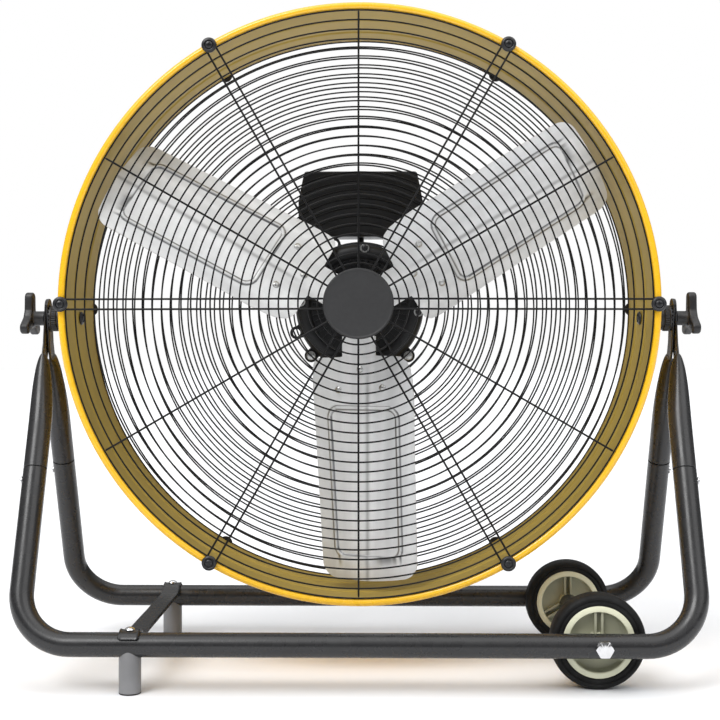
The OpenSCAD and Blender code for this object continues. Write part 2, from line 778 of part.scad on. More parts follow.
// One paddle with its pressed frame line, clear of the hub's disc
module blade(angle) {
    bead_l = 171;
    bead_w = 80;
    bead_t = 0.9;
    bead_line = 2.5;
    color([0.86, 0.87, 0.88]) difference() {
        union() {
            blade_frame(angle, 0.05, blade_t) paddle_outline();
            blade_frame(angle, blade_t, bead_t) translate([200, 8.5]) difference() {
                round_plate([bead_l, bead_w], 15);
                round_plate([bead_l - 2 * bead_line, bead_w - 2 * bead_line], 15 - bead_line);
            }
        }
        drum_frame_back(rotor_y - 30) cylinder(r = 34, h = 60);
        blade_frame(angle, -3, 8) rivet_places() circle(r = 2.3);
    }
}

module blade_rivets() {
    color([0.7, 0.7, 0.72]) for (a = [30, 150, 270]) {
        blade_frame(a, -2.5, blade_t + 2.7) rivet_places() circle(r = 2.2);
        blade_frame(a, blade_t + 0.1, 1.2) rivet_places() circle(r = 4.2);
        blade_frame(a, -3.9, 1.4) rivet_places() circle(r = 4);
    }
}

module hub_nut() {
    color("silver") drum_frame_back(rotor_y - 19) difference() {
        hex_prism(19, 6.8);
        translate([0, 0, -1]) cylinder(r = shaft_r + 0.01, h = 10);
    }
}

// ---------- control box ----------

// Outline with cut top corners, drawn as X and height above the box's foot
module box_outline(inset) {
    half = box_w / 2 - inset;
    polygon([
        [-half, inset], [half, inset], [half, box_h * 0.55], [half - 7, box_h - inset],
        [-half + 7, box_h - inset], [-half, box_h * 0.55]
    ]);
}

module box_frame(y) {
    translate([0, y, box_z]) rotate([90, 0, 0]) children();
}

// Open-backed case that hangs on the rear guard
module control_box_case() {
    color([0.06, 0.06, 0.06]) difference() {
        box_frame(box_y + box_d) linear_extrude(box_d) box_outline(0);
        box_frame(box_y + box_d + 1) linear_extrude(box_d - box_wall + 1) box_outline(box_wall);
        translate([0, box_y + 17, box_z - 1]) cylinder(r = 4.2, h = 6);
        translate([-52, box_y + 20, box_z - 1]) cylinder(r = 6.2, h = 6);
    }
}

module control_box_lid() {
    color([0.08, 0.08, 0.08]) box_frame(box_y + box_d + lid_t + 0.05) difference() {
        linear_extrude(lid_t) box_outline(0);
        translate([knob_c[0], knob_c[1] - box_z, -1]) cylinder(r = 5.2, h = 6);
        lid_screw_places() translate([0, 0, -1]) cylinder(r = 1.8, h = 6);
    }
}

module lid_screw_places() {
    for (sx = [-1, 1]) for (z = [9, box_h - 12]) translate([sx * (box_w / 2 - 14), z, 0]) children();
}

module control_box_screws() {
    color("silver") box_frame(box_y + box_d + lid_t + 0.1) lid_screw_places() {
        translate([0, 0, 0.05]) mirror([0, 0, 1]) cylinder(r = 3, h = 1.6);
        cylinder(r = 1.6, h = 10);
    }
}

// Rotary switch: body inside the box and its bush through the lid
module speed_switch() {
    color([0.3, 0.3, 0.32]) translate([knob_c[0], box_y + box_d, knob_c[1]]) rotate([90, 0, 0]) {
        difference() {
            union() {
                translate([0, 0, 0.1]) cylinder(r = 13, h = 18);
                translate([0, 0, -lid_t - 2]) cylinder(r = 5, h = lid_t + 2.2);
            }
            translate([0, 0, -lid_t - 3]) cylinder(r = 3 + fit, h = lid_t + 17);
        }
    }
}

// Pointer knob on the switch's spindle, on the back of the box
module speed_knob() {
    skirt_r = 17;
    grip_r = 12;
    y = box_y + box_d + lid_t + 2.6;
    color([0.1, 0.1, 0.1]) translate([knob_c[0], y, knob_c[1]]) rotate([-90, 0, 0]) {
        difference() {
            cylinder(r = skirt_r, h = 3);
            translate([0, -skirt_r + 3, 2.4]) cylinder(r = 1.2, h = 2);
        }
        translate([0, 0, 3]) cylinder(r = grip_r, h = 4);
        intersection() {
            translate([-4, -grip_r, 7]) cube([8, 2 * grip_r, 8]);
            translate([0, 0, 7]) cylinder(r = grip_r, h = 8);
        }
        translate([0, 0, -18]) cylinder(r = 3, h = 18);
    }
}

module run_capacitor() {
    color([0.75, 0.75, 0.78]) translate([-60, box_y + 17, box_z + 50]) rotate([0, 90, 0])
        cylinder(r = 13, h = 50);
}

module cable_gland() {
    color([0.05, 0.05, 0.05]) translate([-52, box_y + 20, box_z]) difference() {
        union() {
            translate([0, 0, -4.1]) hex_prism(19, 4);
            translate([0, 0, -17]) cylinder(r1 = 6.5, r2 = 8.5, h = 13);
            translate([0, 0, -0.2]) cylinder(r = 6, h = 8);
        }
        translate([0, 0, -20]) cylinder(r = 3.6, h = 40);
    }
}

// Short cable from the box's foot into the back of the motor
module motor_lead() {
    lead_r = 3.8;
    turn_r = 11;
    y = box_y + 17;
    z = drum_z + 58;
    color([0.04, 0.04, 0.04]) {
        translate([0, y, z + turn_r]) cylinder(r = lead_r, h = box_z + 8 - z - turn_r);
        translate([0, y - turn_r, z + turn_r]) rotate([90, 0, 0]) rotate([0, 90, 0])
            rotate_extrude(angle = -90) translate([turn_r, 0]) circle(r = lead_r);
        translate([0, y - turn_r, z]) rotate([90, 0, 0]) cylinder(r = lead_r, h = 16);
    }
}

module lead_grommet() {
    color([0.03, 0.03, 0.03]) translate([0, mount_y + mount_t + 1.6, drum_z + 58]) rotate([90, 0, 0])
        difference() {
            union() {
                cylinder(r = 6.3, h = 1.5);
                cylinder(r = 5.4, h = 6);
            }
            translate([0, 0, -1]) cylinder(r = 3.9, h = 10);
        }
}

// ---------- one line per node ----------

base_tube(-1);  // front_base_tube
base_tube(1);  // rear_base_tube
upper_leg(-1, -1);  // front_leg_left
upper_leg(-1, 1);  // front_leg_right
upper_leg(1, -1);  // rear_leg_left
upper_leg(1, 1);  // rear_leg_right
leg_joint_screws();
foot_post(-1);  // foot_post_front
foot_post(1);  // foot_post_rear
foot_plugs();
brace_strap();
brace_screws();
axle_bolt();
axle_nut();
axle_spacer();
axle_washers();
wheel_hub(-1);  // wheel_front_hub
wheel_tyre(-1);  // wheel_front_tyre
wheel_hub(1);  // wheel_rear_hub
wheel_tyre(1);  // wheel_rear_tyre
drum_shell();
front_guard_rings();
front_guard_spokes();
front_hub_plate();
front_guard_cap();
rear_guard_rings();
rear_guard_spokes();
cup_washers();
rim_screws();
pivot_bosses();
toothed_collars();
pivot_bolts();
motor_mount_plate();
motor_housing();
motor_front_bell();
motor_rear_bell();
motor_stator();
motor_windings();
motor_through_bolts();
motor_ear_bolts();
bearings();
control_box_case();
control_box_lid();
control_box_screws();
speed_switch();
speed_knob();
run_capacitor();
cable_gland();
motor_lead();
lead_grommet();
motor_shaft();
motor_rotor();
blade_hub();
blade(270);  // blade_lower
blade(150);  // blade_left
blade(30);  // blade_right
blade_rivets();
hub_nut();
tilt_knob(-1);  // tilt_knob_left
tilt_knob(1);  // tilt_knob_right
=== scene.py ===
import json
from math import acos, atan2, cos, degrees, exp, log, pi, radians, sin, sqrt, tan

import bmesh
import bpy
from mathutils import Matrix, Vector


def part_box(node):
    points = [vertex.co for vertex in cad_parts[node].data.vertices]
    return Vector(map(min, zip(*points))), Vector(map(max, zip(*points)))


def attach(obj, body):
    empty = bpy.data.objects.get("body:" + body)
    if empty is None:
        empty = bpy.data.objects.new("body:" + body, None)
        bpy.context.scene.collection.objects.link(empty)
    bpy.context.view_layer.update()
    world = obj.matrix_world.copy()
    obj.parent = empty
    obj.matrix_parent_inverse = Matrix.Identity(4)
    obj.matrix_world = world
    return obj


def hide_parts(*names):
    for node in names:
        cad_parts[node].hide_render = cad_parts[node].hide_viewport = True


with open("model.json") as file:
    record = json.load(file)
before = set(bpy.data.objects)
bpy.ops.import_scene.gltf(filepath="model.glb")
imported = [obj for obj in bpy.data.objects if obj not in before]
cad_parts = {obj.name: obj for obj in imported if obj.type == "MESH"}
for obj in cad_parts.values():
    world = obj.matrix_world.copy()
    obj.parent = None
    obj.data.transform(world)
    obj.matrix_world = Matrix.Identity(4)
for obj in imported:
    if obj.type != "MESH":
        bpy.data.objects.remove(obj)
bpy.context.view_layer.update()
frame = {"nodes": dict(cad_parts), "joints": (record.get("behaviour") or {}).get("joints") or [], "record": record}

RECORD = frame["record"]
NODE_SLOT = {s["node"]: s["material_slot"] for s in RECORD["subparts"]}
NODE_BODY = {n: b for b, nodes in RECORD["behaviour"]["bodies"].items() for n in nodes}

# Everything below is in millimetres until an object is made
MM = 0.001


def box_mm(node):
    low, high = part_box(node)
    return low / MM, high / MM


# ---------- sizes from the frame ----------

low, high = box_mm("front_base_tube")
AXLE_LOW, AXLE_HIGH = box_mm("axle_spacer")
BAR_Z = (AXLE_LOW.z + AXLE_HIGH.z) / 2
AXLE_X = (AXLE_LOW.x + AXLE_HIGH.x) / 2
TUBE_R = BAR_Z - low.z
UPRIGHT_X = high.x - TUBE_R
BAR_Y = -low.y - TUBE_R
low, high = box_mm("pivot_bolts")
PIVOT_Z = (low.z + high.z) / 2
low, high = box_mm("drum_shell")
DRUM_Z = (low.z + high.z) / 2
DRUM_R = (high.z - low.z) / 2
RIM_Y = high.y
low, high = box_mm("foot_plugs")
FOOT_X = (low.x + high.x) / 2
KNEE_DROP, KNEE_Y = 30.0, 5.0
LEAN = atan2(BAR_Y - KNEE_Y, PIVOT_Z - KNEE_DROP - BAR_Z)
SLOPE_L = sqrt((BAR_Y - KNEE_Y) ** 2 + (PIVOT_Z - KNEE_DROP - BAR_Z) ** 2)
KNEE_LEAN = atan2(KNEE_Y, KNEE_DROP)
PLATE_L = sqrt(KNEE_Y ** 2 + KNEE_DROP ** 2)

# ---------- mesh building ----------


def move(x=0.0, y=0.0, z=0.0):
    return Matrix.Translation((x, y, z))


def turn(angle, axis):
    return Matrix.Rotation(radians(angle), 4, axis)


def placed(part, matrix):
    verts, faces = part
    return [matrix @ Vector(v) for v in verts], faces


def merged(*parts):
    verts, faces = [], []
    for part_verts, part_faces in parts:
        base = len(verts)
        verts.extend(Vector(v) for v in part_verts)
        faces.extend(tuple(i + base for i in face) for face in part_faces)
    return verts, faces


def skin(rings, closed_rings=True, wrap=False):
    """Faces over rings of points; a ring of one point is an apex."""
    verts, faces, starts = [], [], []
    for ring in rings:
        starts.append(len(verts))
        verts.extend(Vector(p) for p in ring)
    count = len(rings)
    for i in range(count if wrap else count - 1):
        a, b = i, (i + 1) % count
        na, nb = len(rings[a]), len(rings[b])
        n = max(na, nb)
        for j in range(n if closed_rings else n - 1):
            k = (j + 1) % n
            if na == 1:
                faces.append((starts[a], starts[b] + j, starts[b] + k))
            elif nb == 1:
                faces.append((starts[a] + j, starts[b], starts[a] + k))
            else:
                faces.append((starts[a] + j, starts[b] + j, starts[b] + k, starts[a] + k))
    if not wrap and closed_rings:
        if len(rings[0]) > 2:
            faces.append(tuple(starts[0] + j for j in range(len(rings[0]))))
        if len(rings[-1]) > 2:
            faces.append(tuple(starts[-1] + j for j in reversed(range(len(rings[-1])))))
    return verts, faces


def polar(n, r, z=0.0):
    """A ring of n points; its radius and its height are numbers, or functions of the angle."""
    ring = []
    for j in range(n):
        a = 2 * pi * j / n
        here = r(a) if callable(r) else r
        ring.append((here * cos(a), here * sin(a), z(a) if callable(z) else z))
    return ring


def lathe(profile, sides=96, closed=False):
    """Turns (radius, height) points about local Z; a closed profile makes a ring."""
    return skin([polar(sides, r, z) if r > 0 else [(0, 0, z)] for r, z in profile], wrap=closed)


def rod(r, low, high, sides):
    """A plain cylinder about local Z."""
    return lathe([(0, low), (r, low), (r, high), (0, high)], sides)


def arc(cx, cy, r, start, end, steps):
    return [(cx + r * cos(radians(start + (end - start) * i / steps)),
             cy + r * sin(radians(start + (end - start) * i / steps))) for i in range(steps + 1)]


def torus(radius, wire, sides=168, section=10):
    return lathe(circle(wire, section, radius), sides, closed=True)


def sweep(path, radius, section=12):
    """A round wire along points, with round ends and its frame carried along."""
    points = [Vector(p) for p in path]
    tangents = []
    for i in range(len(points)):
        a, b = points[max(i - 1, 0)], points[min(i + 1, len(points) - 1)]
        tangents.append((b - a).normalized())
    side = tangents[0].orthogonal().normalized()
    rings = []
    for i, (p, t) in enumerate(zip(points, tangents)):
        side = (side - t * side.dot(t)).normalized()
        up = t.cross(side)
        rings.append([p + (side * cos(2 * pi * j / section) + up * sin(2 * pi * j / section)) * radius
                      for j in range(section)])
        if i in (0, len(points) - 1):
            out = -t if i == 0 else t
            tip = [[p + (q - p) * cos(a) + out * radius * sin(a) for q in rings[-1]]
                   for a in (radians(25), radians(50), radians(72))]
            rings = tip[::-1] + rings if i == 0 else rings + tip
    return skin(rings)


def prism(outline, height, holes=()):
    """A flat plate with holes, from z = 0 up."""
    bm = bmesh.new()
    for loop in [outline, *holes]:
        verts = [bm.verts.new((x, y, 0)) for x, y in loop]
        for i, v in enumerate(verts):
            bm.edges.new((v, verts[(i + 1) % len(verts)]))
    bmesh.ops.triangle_fill(bm, use_beauty=True, use_dissolve=False, edges=bm.edges[:])
    grown = bmesh.ops.extrude_face_region(bm, geom=bm.faces[:])
    bmesh.ops.translate(bm, verts=[g for g in grown["geom"] if isinstance(g, bmesh.types.BMVert)],
                        vec=(0, 0, height))
    bmesh.ops.recalc_face_normals(bm, faces=bm.faces[:])
    bm.verts.index_update()
    part = [v.co.copy() for v in bm.verts], [tuple(v.index for v in f.verts) for f in bm.faces]
    bm.free()
    return part


def round_rect(w, h, r, steps=8):
    loop = []
    for sx, sy, start in ((1, 1, 0), (-1, 1, 90), (-1, -1, 180), (1, -1, 270)):
        loop += arc(sx * (w / 2 - r), sy * (h / 2 - r), r, start, start + 90, steps)
    return loop


def circle(r, n=48, x=0.0, y=0.0):
    return [(x + u, y + v) for u, v, _ in polar(n, r)]


def block(sx, sy, sz):
    """A box centred on the origin."""
    return placed(prism([(-sx / 2, -sy / 2), (sx / 2, -sy / 2), (sx / 2, sy / 2), (-sx / 2, sy / 2)], sz),
                  move(z=-sz / 2))


def around(part, count, first=0.0):
    return merged(*[placed(part, turn(first + 360 * i / count, "Z")) for i in range(count)])


def make_object(name, part, sharp=32.0):
    verts, faces = part
    mesh = bpy.data.meshes.new(name)
    mesh.from_pydata([Vector(v) * MM for v in verts], [], faces)
    bm = bmesh.new()
    bm.from_mesh(mesh)
    bmesh.ops.recalc_face_normals(bm, faces=bm.faces[:])
    bm.to_mesh(mesh)
    bm.free()
    mesh.shade_smooth()
    mesh.set_sharp_from_angle(angle=radians(sharp))
    obj = bpy.data.objects.new(name, mesh)
    bpy.context.scene.collection.objects.link(obj)
    return obj


def cut(part, *tools):
    """The part with the tools' volumes taken away."""
    body = make_object("cut_body", part)
    tool = make_object("cut_tool", merged(*tools))
    mod = body.modifiers.new("cut", "BOOLEAN")
    mod.operation, mod.object, mod.solver = "DIFFERENCE", tool, "EXACT"
    mod.use_self = True
    mesh = bpy.data.meshes.new_from_object(body.evaluated_get(bpy.context.evaluated_depsgraph_get()))
    result = [v.co / MM for v in mesh.vertices], [tuple(p.vertices) for p in mesh.polygons]
    for obj in (body, tool):
        bpy.data.objects.remove(obj)
    bpy.data.meshes.remove(mesh)
    return result


def bevelled(obj, width, angle=40.0):
    mod = obj.modifiers.new("edges", "BEVEL")
    mod.width, mod.segments = width * MM, 2
    mod.limit_method, mod.angle_limit = "ANGLE", radians(angle)
    mod.harden_normals = True


def thickened(obj, thickness, bevel, angle):
    """Turns a sheet into a plate with softened edges."""
    mod = obj.modifiers.new("thickness", "SOLIDIFY")
    mod.thickness, mod.offset = thickness * MM, 0.0
    bevelled(obj, bevel, angle)


MATERIALS = {}


def extra(name, part, node, look, sharp=32.0):
    """A piece that rides with a CAD node and keeps its slot, in a material of its own."""
    obj = make_object(name, part, sharp)
    obj.data.materials.append(MATERIALS[look])
    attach(obj, NODE_BODY[node])
    return obj


def detail(node, part, bevel=0.0, sharp=32.0):
    """The finished piece for one CAD node, on its body and in its material slot."""
    obj = extra(node + "_piece", part, node, NODE_SLOT[node], sharp)
    if bevel:
        bevelled(obj, bevel)
    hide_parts(node)
    return obj


def second_material(obj, name, chosen):
    """Gives the faces whose middles, in millimetres, are chosen the second material."""
    obj.data.materials.append(MATERIALS[name])
    for face in obj.data.polygons:
        if chosen(face.center / MM):
            face.material_index = 1


# ---------- materials ----------


class Nodes:
    """A short way to write one material's nodes."""

    def __init__(self, name):
        self.material = bpy.data.materials.new(name)
        self.material.use_nodes = True
        self.tree = self.material.node_tree
        self.shader = self.tree.nodes["Principled BSDF"]
        self.place = self.tree.nodes.new("ShaderNodeTexCoord").outputs["Object"]

    def node(self, kind, inputs=None, **settings):
        new = self.tree.nodes.new(kind)
        for key, value in settings.items():
            setattr(new, key, value)
        for key, value in (inputs or {}).items():
            self.put(value, new.inputs[key])
        return new

    def put(self, value, target):
        if isinstance(value, bpy.types.NodeSocket):
            self.tree.links.new(value, target)
        else:
            target.default_value = value

    def uv(self):
        return self.node("ShaderNodeUVMap", uv_map="sheet").outputs["UV"]

    def noise(self, size, detail=2.0, stretch=None, at=None, roughness=0.5):
        """Noise whose features are about size millimetres across."""
        place = at or self.place
        if stretch:
            place = self.node("ShaderNodeMapping", {"Vector": place, "Scale": stretch}).outputs["Vector"]
        return self.node("ShaderNodeTexNoise", {"Vector": place, "Scale": 1 / (size * MM), "Detail": detail,
                                                "Roughness": roughness}).outputs["Fac"]

    def spread(self, value, low, high, from_low=0.3, from_high=0.7):
        return self.node("ShaderNodeMapRange", {"Value": value, "From Min": from_low, "From Max": from_high,
                                                "To Min": low, "To Max": high}).outputs["Result"]

    def mixed(self, factor, a, b):
        mix = self.node("ShaderNodeMix", data_type="RGBA")
        for key, value in ((0, factor), (6, a), (7, b)):
            self.put(value, mix.inputs[key])
        return mix.outputs[2]

    def bump(self, height, strength, distance, below=None):
        inputs = {"Height": height, "Strength": strength, "Distance": distance * MM}
        if below:
            inputs["Normal"] = below
        return self.node("ShaderNodeBump", inputs).outputs["Normal"]

    def feed(self, **sockets):
        names = {"colour": "Base Color", "roughness": "Roughness", "metallic": "Metallic", "normal": "Normal",
                 "coat": "Coat Weight", "coat_roughness": "Coat Roughness", "specular": "Specular IOR Level"}
        for key, value in sockets.items():
            self.put(value, self.shader.inputs[names[key]])
        return self.material


def grey(level):
    return (level, level, level, 1.0)


def shade(colour, factor):
    return (*[min(c * factor, 1.0) for c in colour[:3]], 1.0)


def painted(name, colour, rough, peel=1.6, peel_depth=0.03, coat=0.0, mottle=0.12, dust=0.10, specular=0.5):
    """Sprayed or powder-coated metal: fine peel, slight cloudiness and a little settled dust."""
    n = Nodes(name)
    cloud = n.spread(n.noise(45, 3), 0.0, 1.0)
    base = n.mixed(cloud, shade(colour, 1 - mottle), shade(colour, 1 + mottle))
    speck = n.spread(n.noise(0.9, 3, roughness=0.7), 0.0, 1.0, 0.62, 0.74)
    scaled = n.node("ShaderNodeMath", {0: speck, 1: dust}, operation="MULTIPLY").outputs[0]
    base = n.mixed(scaled, base, (0.55, 0.53, 0.5, 1.0))
    normal = n.bump(n.noise(peel, 2), 0.35, peel_depth)
    normal = n.bump(n.noise(peel * 9, 2), 0.2, peel_depth * 3, normal)
    return n.feed(colour=base, roughness=n.spread(n.noise(14, 3), rough - 0.05, rough + 0.07), normal=normal,
                  coat=coat, coat_roughness=0.12, specular=specular)


def moulded(name, colour, rough, mottle=0.10):
    """Moulded plastic with a fine grained skin."""
    n = Nodes(name)
    base = n.mixed(n.spread(n.noise(22, 3), 0, 1), shade(colour, 1 - mottle), shade(colour, 1 + mottle))
    normal = n.bump(n.noise(0.7, 4, roughness=0.6), 0.5, 0.04)
    normal = n.bump(n.noise(18, 1), 0.15, 0.12, normal)
    return n.feed(colour=base, roughness=n.spread(n.noise(5, 3), rough - 0.06, rough + 0.08), normal=normal)


def plated(name, colour, rough):
    """Bright plated steel with faint rubbing marks."""
    n = Nodes(name)
    marks = n.noise(1.2, 3, stretch=(1.0, 1.0, 0.12))
    base = n.mixed(n.spread(n.noise(7, 3), 0, 1), shade(colour, 0.88), shade(colour, 1.05))
    normal = n.bump(marks, 0.35, 0.006)
    return n.feed(colour=base, metallic=1.0, roughness=n.spread(marks, rough, rough + 0.12), normal=normal)


def rubber(name, colour, rough):
    n = Nodes(name)
    base = n.mixed(n.spread(n.noise(9, 4), 0, 1), shade(colour, 0.8), shade(colour, 1.5))
    bloom = n.spread(n.noise(26, 3), 0.0, 0.35, 0.5, 0.75)
    base = n.mixed(bloom, base, grey(0.03))
    normal = n.bump(n.noise(0.5, 4, roughness=0.65), 0.5, 0.05)
    return n.feed(colour=base, roughness=n.spread(n.noise(3, 3), rough - 0.08, rough + 0.08), normal=normal,
                  specular=0.2)


def brushed(name, colour, rough, at_uv=False, metallic=1.0, line_shade_strength=0.0):
    """Rolled sheet metal with fine streaks one way; the last argument sets how dark the painted shade is on a
    pressed line's sides and along the crease, and turns on painted reflection bands and painted reflections of the
    guard wires.
    """
    n = Nodes(name)
    place = n.uv() if at_uv else n.place
    fine = n.noise(26, 4, stretch=(1.0, 60.0, 1.0), at=place, roughness=0.6)
    broad = n.noise(120, 3, stretch=(1.0, 3.0, 1.0), at=place)
    base = n.mixed(n.spread(fine, 0, 1), shade(colour, 0.90), shade(colour, 1.04))
    base = n.mixed(n.spread(broad, 0, 0.5), base, shade(colour, 0.93))
    rub = n.spread(n.noise(9, 4, at=place), 0.0, 0.10, 0.55, 0.75)
    rough_now = n.node("ShaderNodeMath", {0: n.spread(fine, rough - 0.07, rough + 0.09), 1: rub},
                       operation="ADD").outputs[0]
    normal = n.bump(fine, 0.35, 0.012)
    normal = n.bump(n.noise(60, 2, at=place), 0.2, 0.5, normal)
    if line_shade_strength:
        # Painted reflections: broad dark bands across the sheet stand in for reflected surroundings.
        painted_reflection_bands = n.noise(26, 2, stretch=(0.06, 1.0, 1.0), at=place)
        base = n.mixed(n.spread(painted_reflection_bands, 0.0, 0.75, 0.35, 0.7), base, shade(colour, 0.62))
        # Painted reflections of the guard wires: fine dark ripples across the sheet.
        painted_ring_reflections = n.noise(9, 2, stretch=(1.0, 0.16, 1.0), at=place)
        base = n.mixed(n.spread(painted_ring_reflections, 0.0, 0.35, 0.4, 0.7), base, shade(colour, 0.72))
        # Painted shade: the pressed line's sides and the radial crease are darkened as if in shade.
        pressed = n.node("ShaderNodeAttribute", attribute_name="painted_line_shade").outputs["Fac"]
        base = n.mixed(n.spread(pressed, 0.0, line_shade_strength, 0.0, 1.0), base, shade(colour, 0.10))
    return n.feed(colour=base, metallic=metallic, roughness=rough_now, normal=normal)


def shaded_lining(name, colour):
    """The drum's inside: the same paint, duller and darkened as painted shade, with fine streaks running round."""
    n = Nodes(name)
    middle = n.node("ShaderNodeMapping", {"Vector": n.place, "Location": (0, 0, -DRUM_Z * MM)})
    middle = middle.outputs["Vector"]
    streak = n.noise(30, 5, stretch=(0.05, 30.0, 0.05), at=middle, roughness=0.65)
    base = n.mixed(n.spread(streak, 0, 1), shade(colour, 0.72), shade(colour, 1.12))
    base = n.mixed(n.spread(n.noise(90, 3), 0, 0.4), base, shade(colour, 0.8))
    return n.feed(colour=base, roughness=n.spread(streak, 0.42, 0.58), normal=n.bump(streak, 0.2, 0.05),
                  specular=0.3)


def build_materials():
    make = MATERIALS
    for slot, name in (("charcoal", "charcoal_powder"), ("strap_grey", "strap_powder")):
        make[slot] = painted(name, (0.019, 0.019, 0.020, 1), 0.27, peel=1.3, dust=0.04)
    make["post_grey"] = painted("post_powder", (0.20, 0.20, 0.205, 1), 0.42, peel=1.3, peel_depth=0.035)
    make["yellow_paint"] = painted("yellow_enamel", (0.93, 0.52, 0.014, 1), 0.26, peel=2.6, coat=0.4,
                                   mottle=0.04, dust=0.02)
    # Painted shade: the drum's inside is the yellow paint made darker, as the inside falls in shade.
    make["drum_lining_shade"] = shaded_lining("drum_lining_shade", (0.50, 0.345, 0.060, 1))
    make["guard_black"] = painted("guard_powder", (0.004, 0.004, 0.0045, 1), 0.42, peel=0.8, peel_depth=0.02,
                                  dust=0.02, specular=0.25)
    make["cap_grey"] = moulded("cap_plastic", (0.020, 0.020, 0.021, 1), 0.6)
    make["black_plastic"] = moulded("black_plastic", (0.012, 0.012, 0.013, 1), 0.42)
    make["black_hardware"] = painted("black_hardware", (0.014, 0.014, 0.016, 1), 0.34, peel=0.9, dust=0.05)
    make["motor_black"] = painted("motor_enamel", (0.007, 0.007, 0.008, 1), 0.38, peel=1.8, peel_depth=0.05,
                                  dust=0.04, specular=0.35)
    # The blades carry painted shade on their pressed lines and crease, and painted reflections.
    make["blade_aluminium"] = brushed("blade_sheet", (0.92, 0.925, 0.93, 1), 0.40, at_uv=True, metallic=0.5,
                                      line_shade_strength=0.92)
    make["chrome"] = plated("chrome", (0.78, 0.78, 0.79, 1), 0.10)
    make["bright_steel"] = plated("zinc_steel", (0.58, 0.58, 0.57, 1), 0.24)
    make["lamination_steel"] = brushed("lamination_steel", (0.35, 0.35, 0.36, 1), 0.45)
    make["copper"] = plated("winding_copper", (0.62, 0.30, 0.15, 1), 0.30)
    make["wheel_cream"] = moulded("wheel_nylon", (0.70, 0.70, 0.52, 1), 0.38, mottle=0.05)
    # Painted shade: a darker copy of the wheel nylon for the recessed web.
    make["wheel_web_shade"] = moulded("wheel_web_shade", (0.36, 0.36, 0.26, 1), 0.5, mottle=0.08)
    make["tyre_rubber"] = rubber("tyre_rubber", (0.007, 0.007, 0.007, 1), 0.62)
    make["foot_rubber"] = rubber("foot_rubber", (0.012, 0.012, 0.012, 1), 0.7)
    make["cable_pvc"] = rubber("cable_pvc", (0.010, 0.010, 0.010, 1), 0.45)
    make["mark_white"] = painted("mark_paint", (0.62, 0.62, 0.60, 1), 0.5, peel=0.5, dust=0.05)
    for node, obj in frame["nodes"].items():
        obj.data.materials.clear()
        obj.data.materials.append(make[NODE_SLOT[node]])


# ---------- places ----------


def leg_frame(side):
    return move(0, side * BAR_Y, BAR_Z) @ turn(side * degrees(LEAN), "X")


def drum_frame(y):
    return move(0, y, DRUM_Z) @ turn(90, "X")


def drum_back(y):
    return move(0, y, DRUM_Z) @ turn(-90, "X")


def pivot_frame(lr, x):
    return move(lr * x, 0, PIVOT_Z) @ turn(lr * 90, "Y")


# ---------- stand ----------

BEND_R = 56.0
JOINT_V = 190.0
TUBE_WALL = 1.5
FLAT_START, FLAT_END = 240.0, SLOPE_L - 15.0
PLATE_W, PLATE_T = 20.0, 2.8
PLATE_RISE = 12.7
PLATE_IN_X = 352.1
BOLT_R = 4.0


def cross_screw(head_r, head_h, shank_r, shank_l, dome=0.6):
    """A screw along local Z, its head's underside at z = 0 and a cross in its top."""
    crown = [(head_r, 0), (head_r, head_h * (1 - dome))]
    crown += [(head_r * cos(a), head_h * (1 - dome) + head_h * dome * sin(a))
              for a in (radians(d) for d in (20, 40, 58, 74))]
    profile = [(0, -shank_l), (shank_r, -shank_l + 0.8), (shank_r, 0), *crown, (0, head_h)]
    part = lathe(profile, 40)
    wing = placed(block(head_r * 1.15, head_r * 0.24, head_h), move(z=head_h * 1.02))
    return cut(part, merged(wing), placed(wing, turn(90, "Z")))


def make_base_tubes():
    bar_half = UPRIGHT_X - BEND_R
    for side, node in ((-1, "front_base_tube"), (1, "rear_base_tube")):
        path = [(UPRIGHT_X, v) for v in (JOINT_V - 0.6, 150, 110, 75)]
        path += arc(bar_half, BEND_R, BEND_R, 0, -90, 18)
        path += [(x, 0) for x in (180, 60, -60, -180)]
        path += [(-x, v) for x, v in reversed(path[:23])]
        centre = [Vector((x, 0, v)) for x, v in path]
        outer = sweep_ring(centre, TUBE_R, 40)
        inner = sweep_ring(centre, TUBE_R - TUBE_WALL, 40)
        part = skin(outer + inner[::-1], wrap=True)
        detail(node, placed(part, leg_frame(side)), bevel=0.35)


def sweep_ring(points, radius, section):
    """Rings along a path in the local X-Z plane, square to it."""
    rings = []
    for i, p in enumerate(points):
        t = (points[min(i + 1, len(points) - 1)] - points[max(i - 1, 0)]).normalized()
        side = Vector((0, 1, 0))
        up = t.cross(side)
        rings.append([p + (side * cos(2 * pi * j / section) + up * sin(2 * pi * j / section)) * radius
                      for j in range(section)])
    return rings


def crushed_section(v, x, width, thick, section=56):
    """One ring of a flattened tube: thick along X, width along Y, its edges round."""
    straight = (width - thick) / 2
    ring = []
    for j in range(section):
        a = 2 * pi * j / section
        s = sin(a)
        spread = s / sqrt(s * s + 0.05) * sqrt(1.05)
        ring.append((x + thick / 2 * cos(a), thick / 2 * s + straight * spread, v))
    return ring


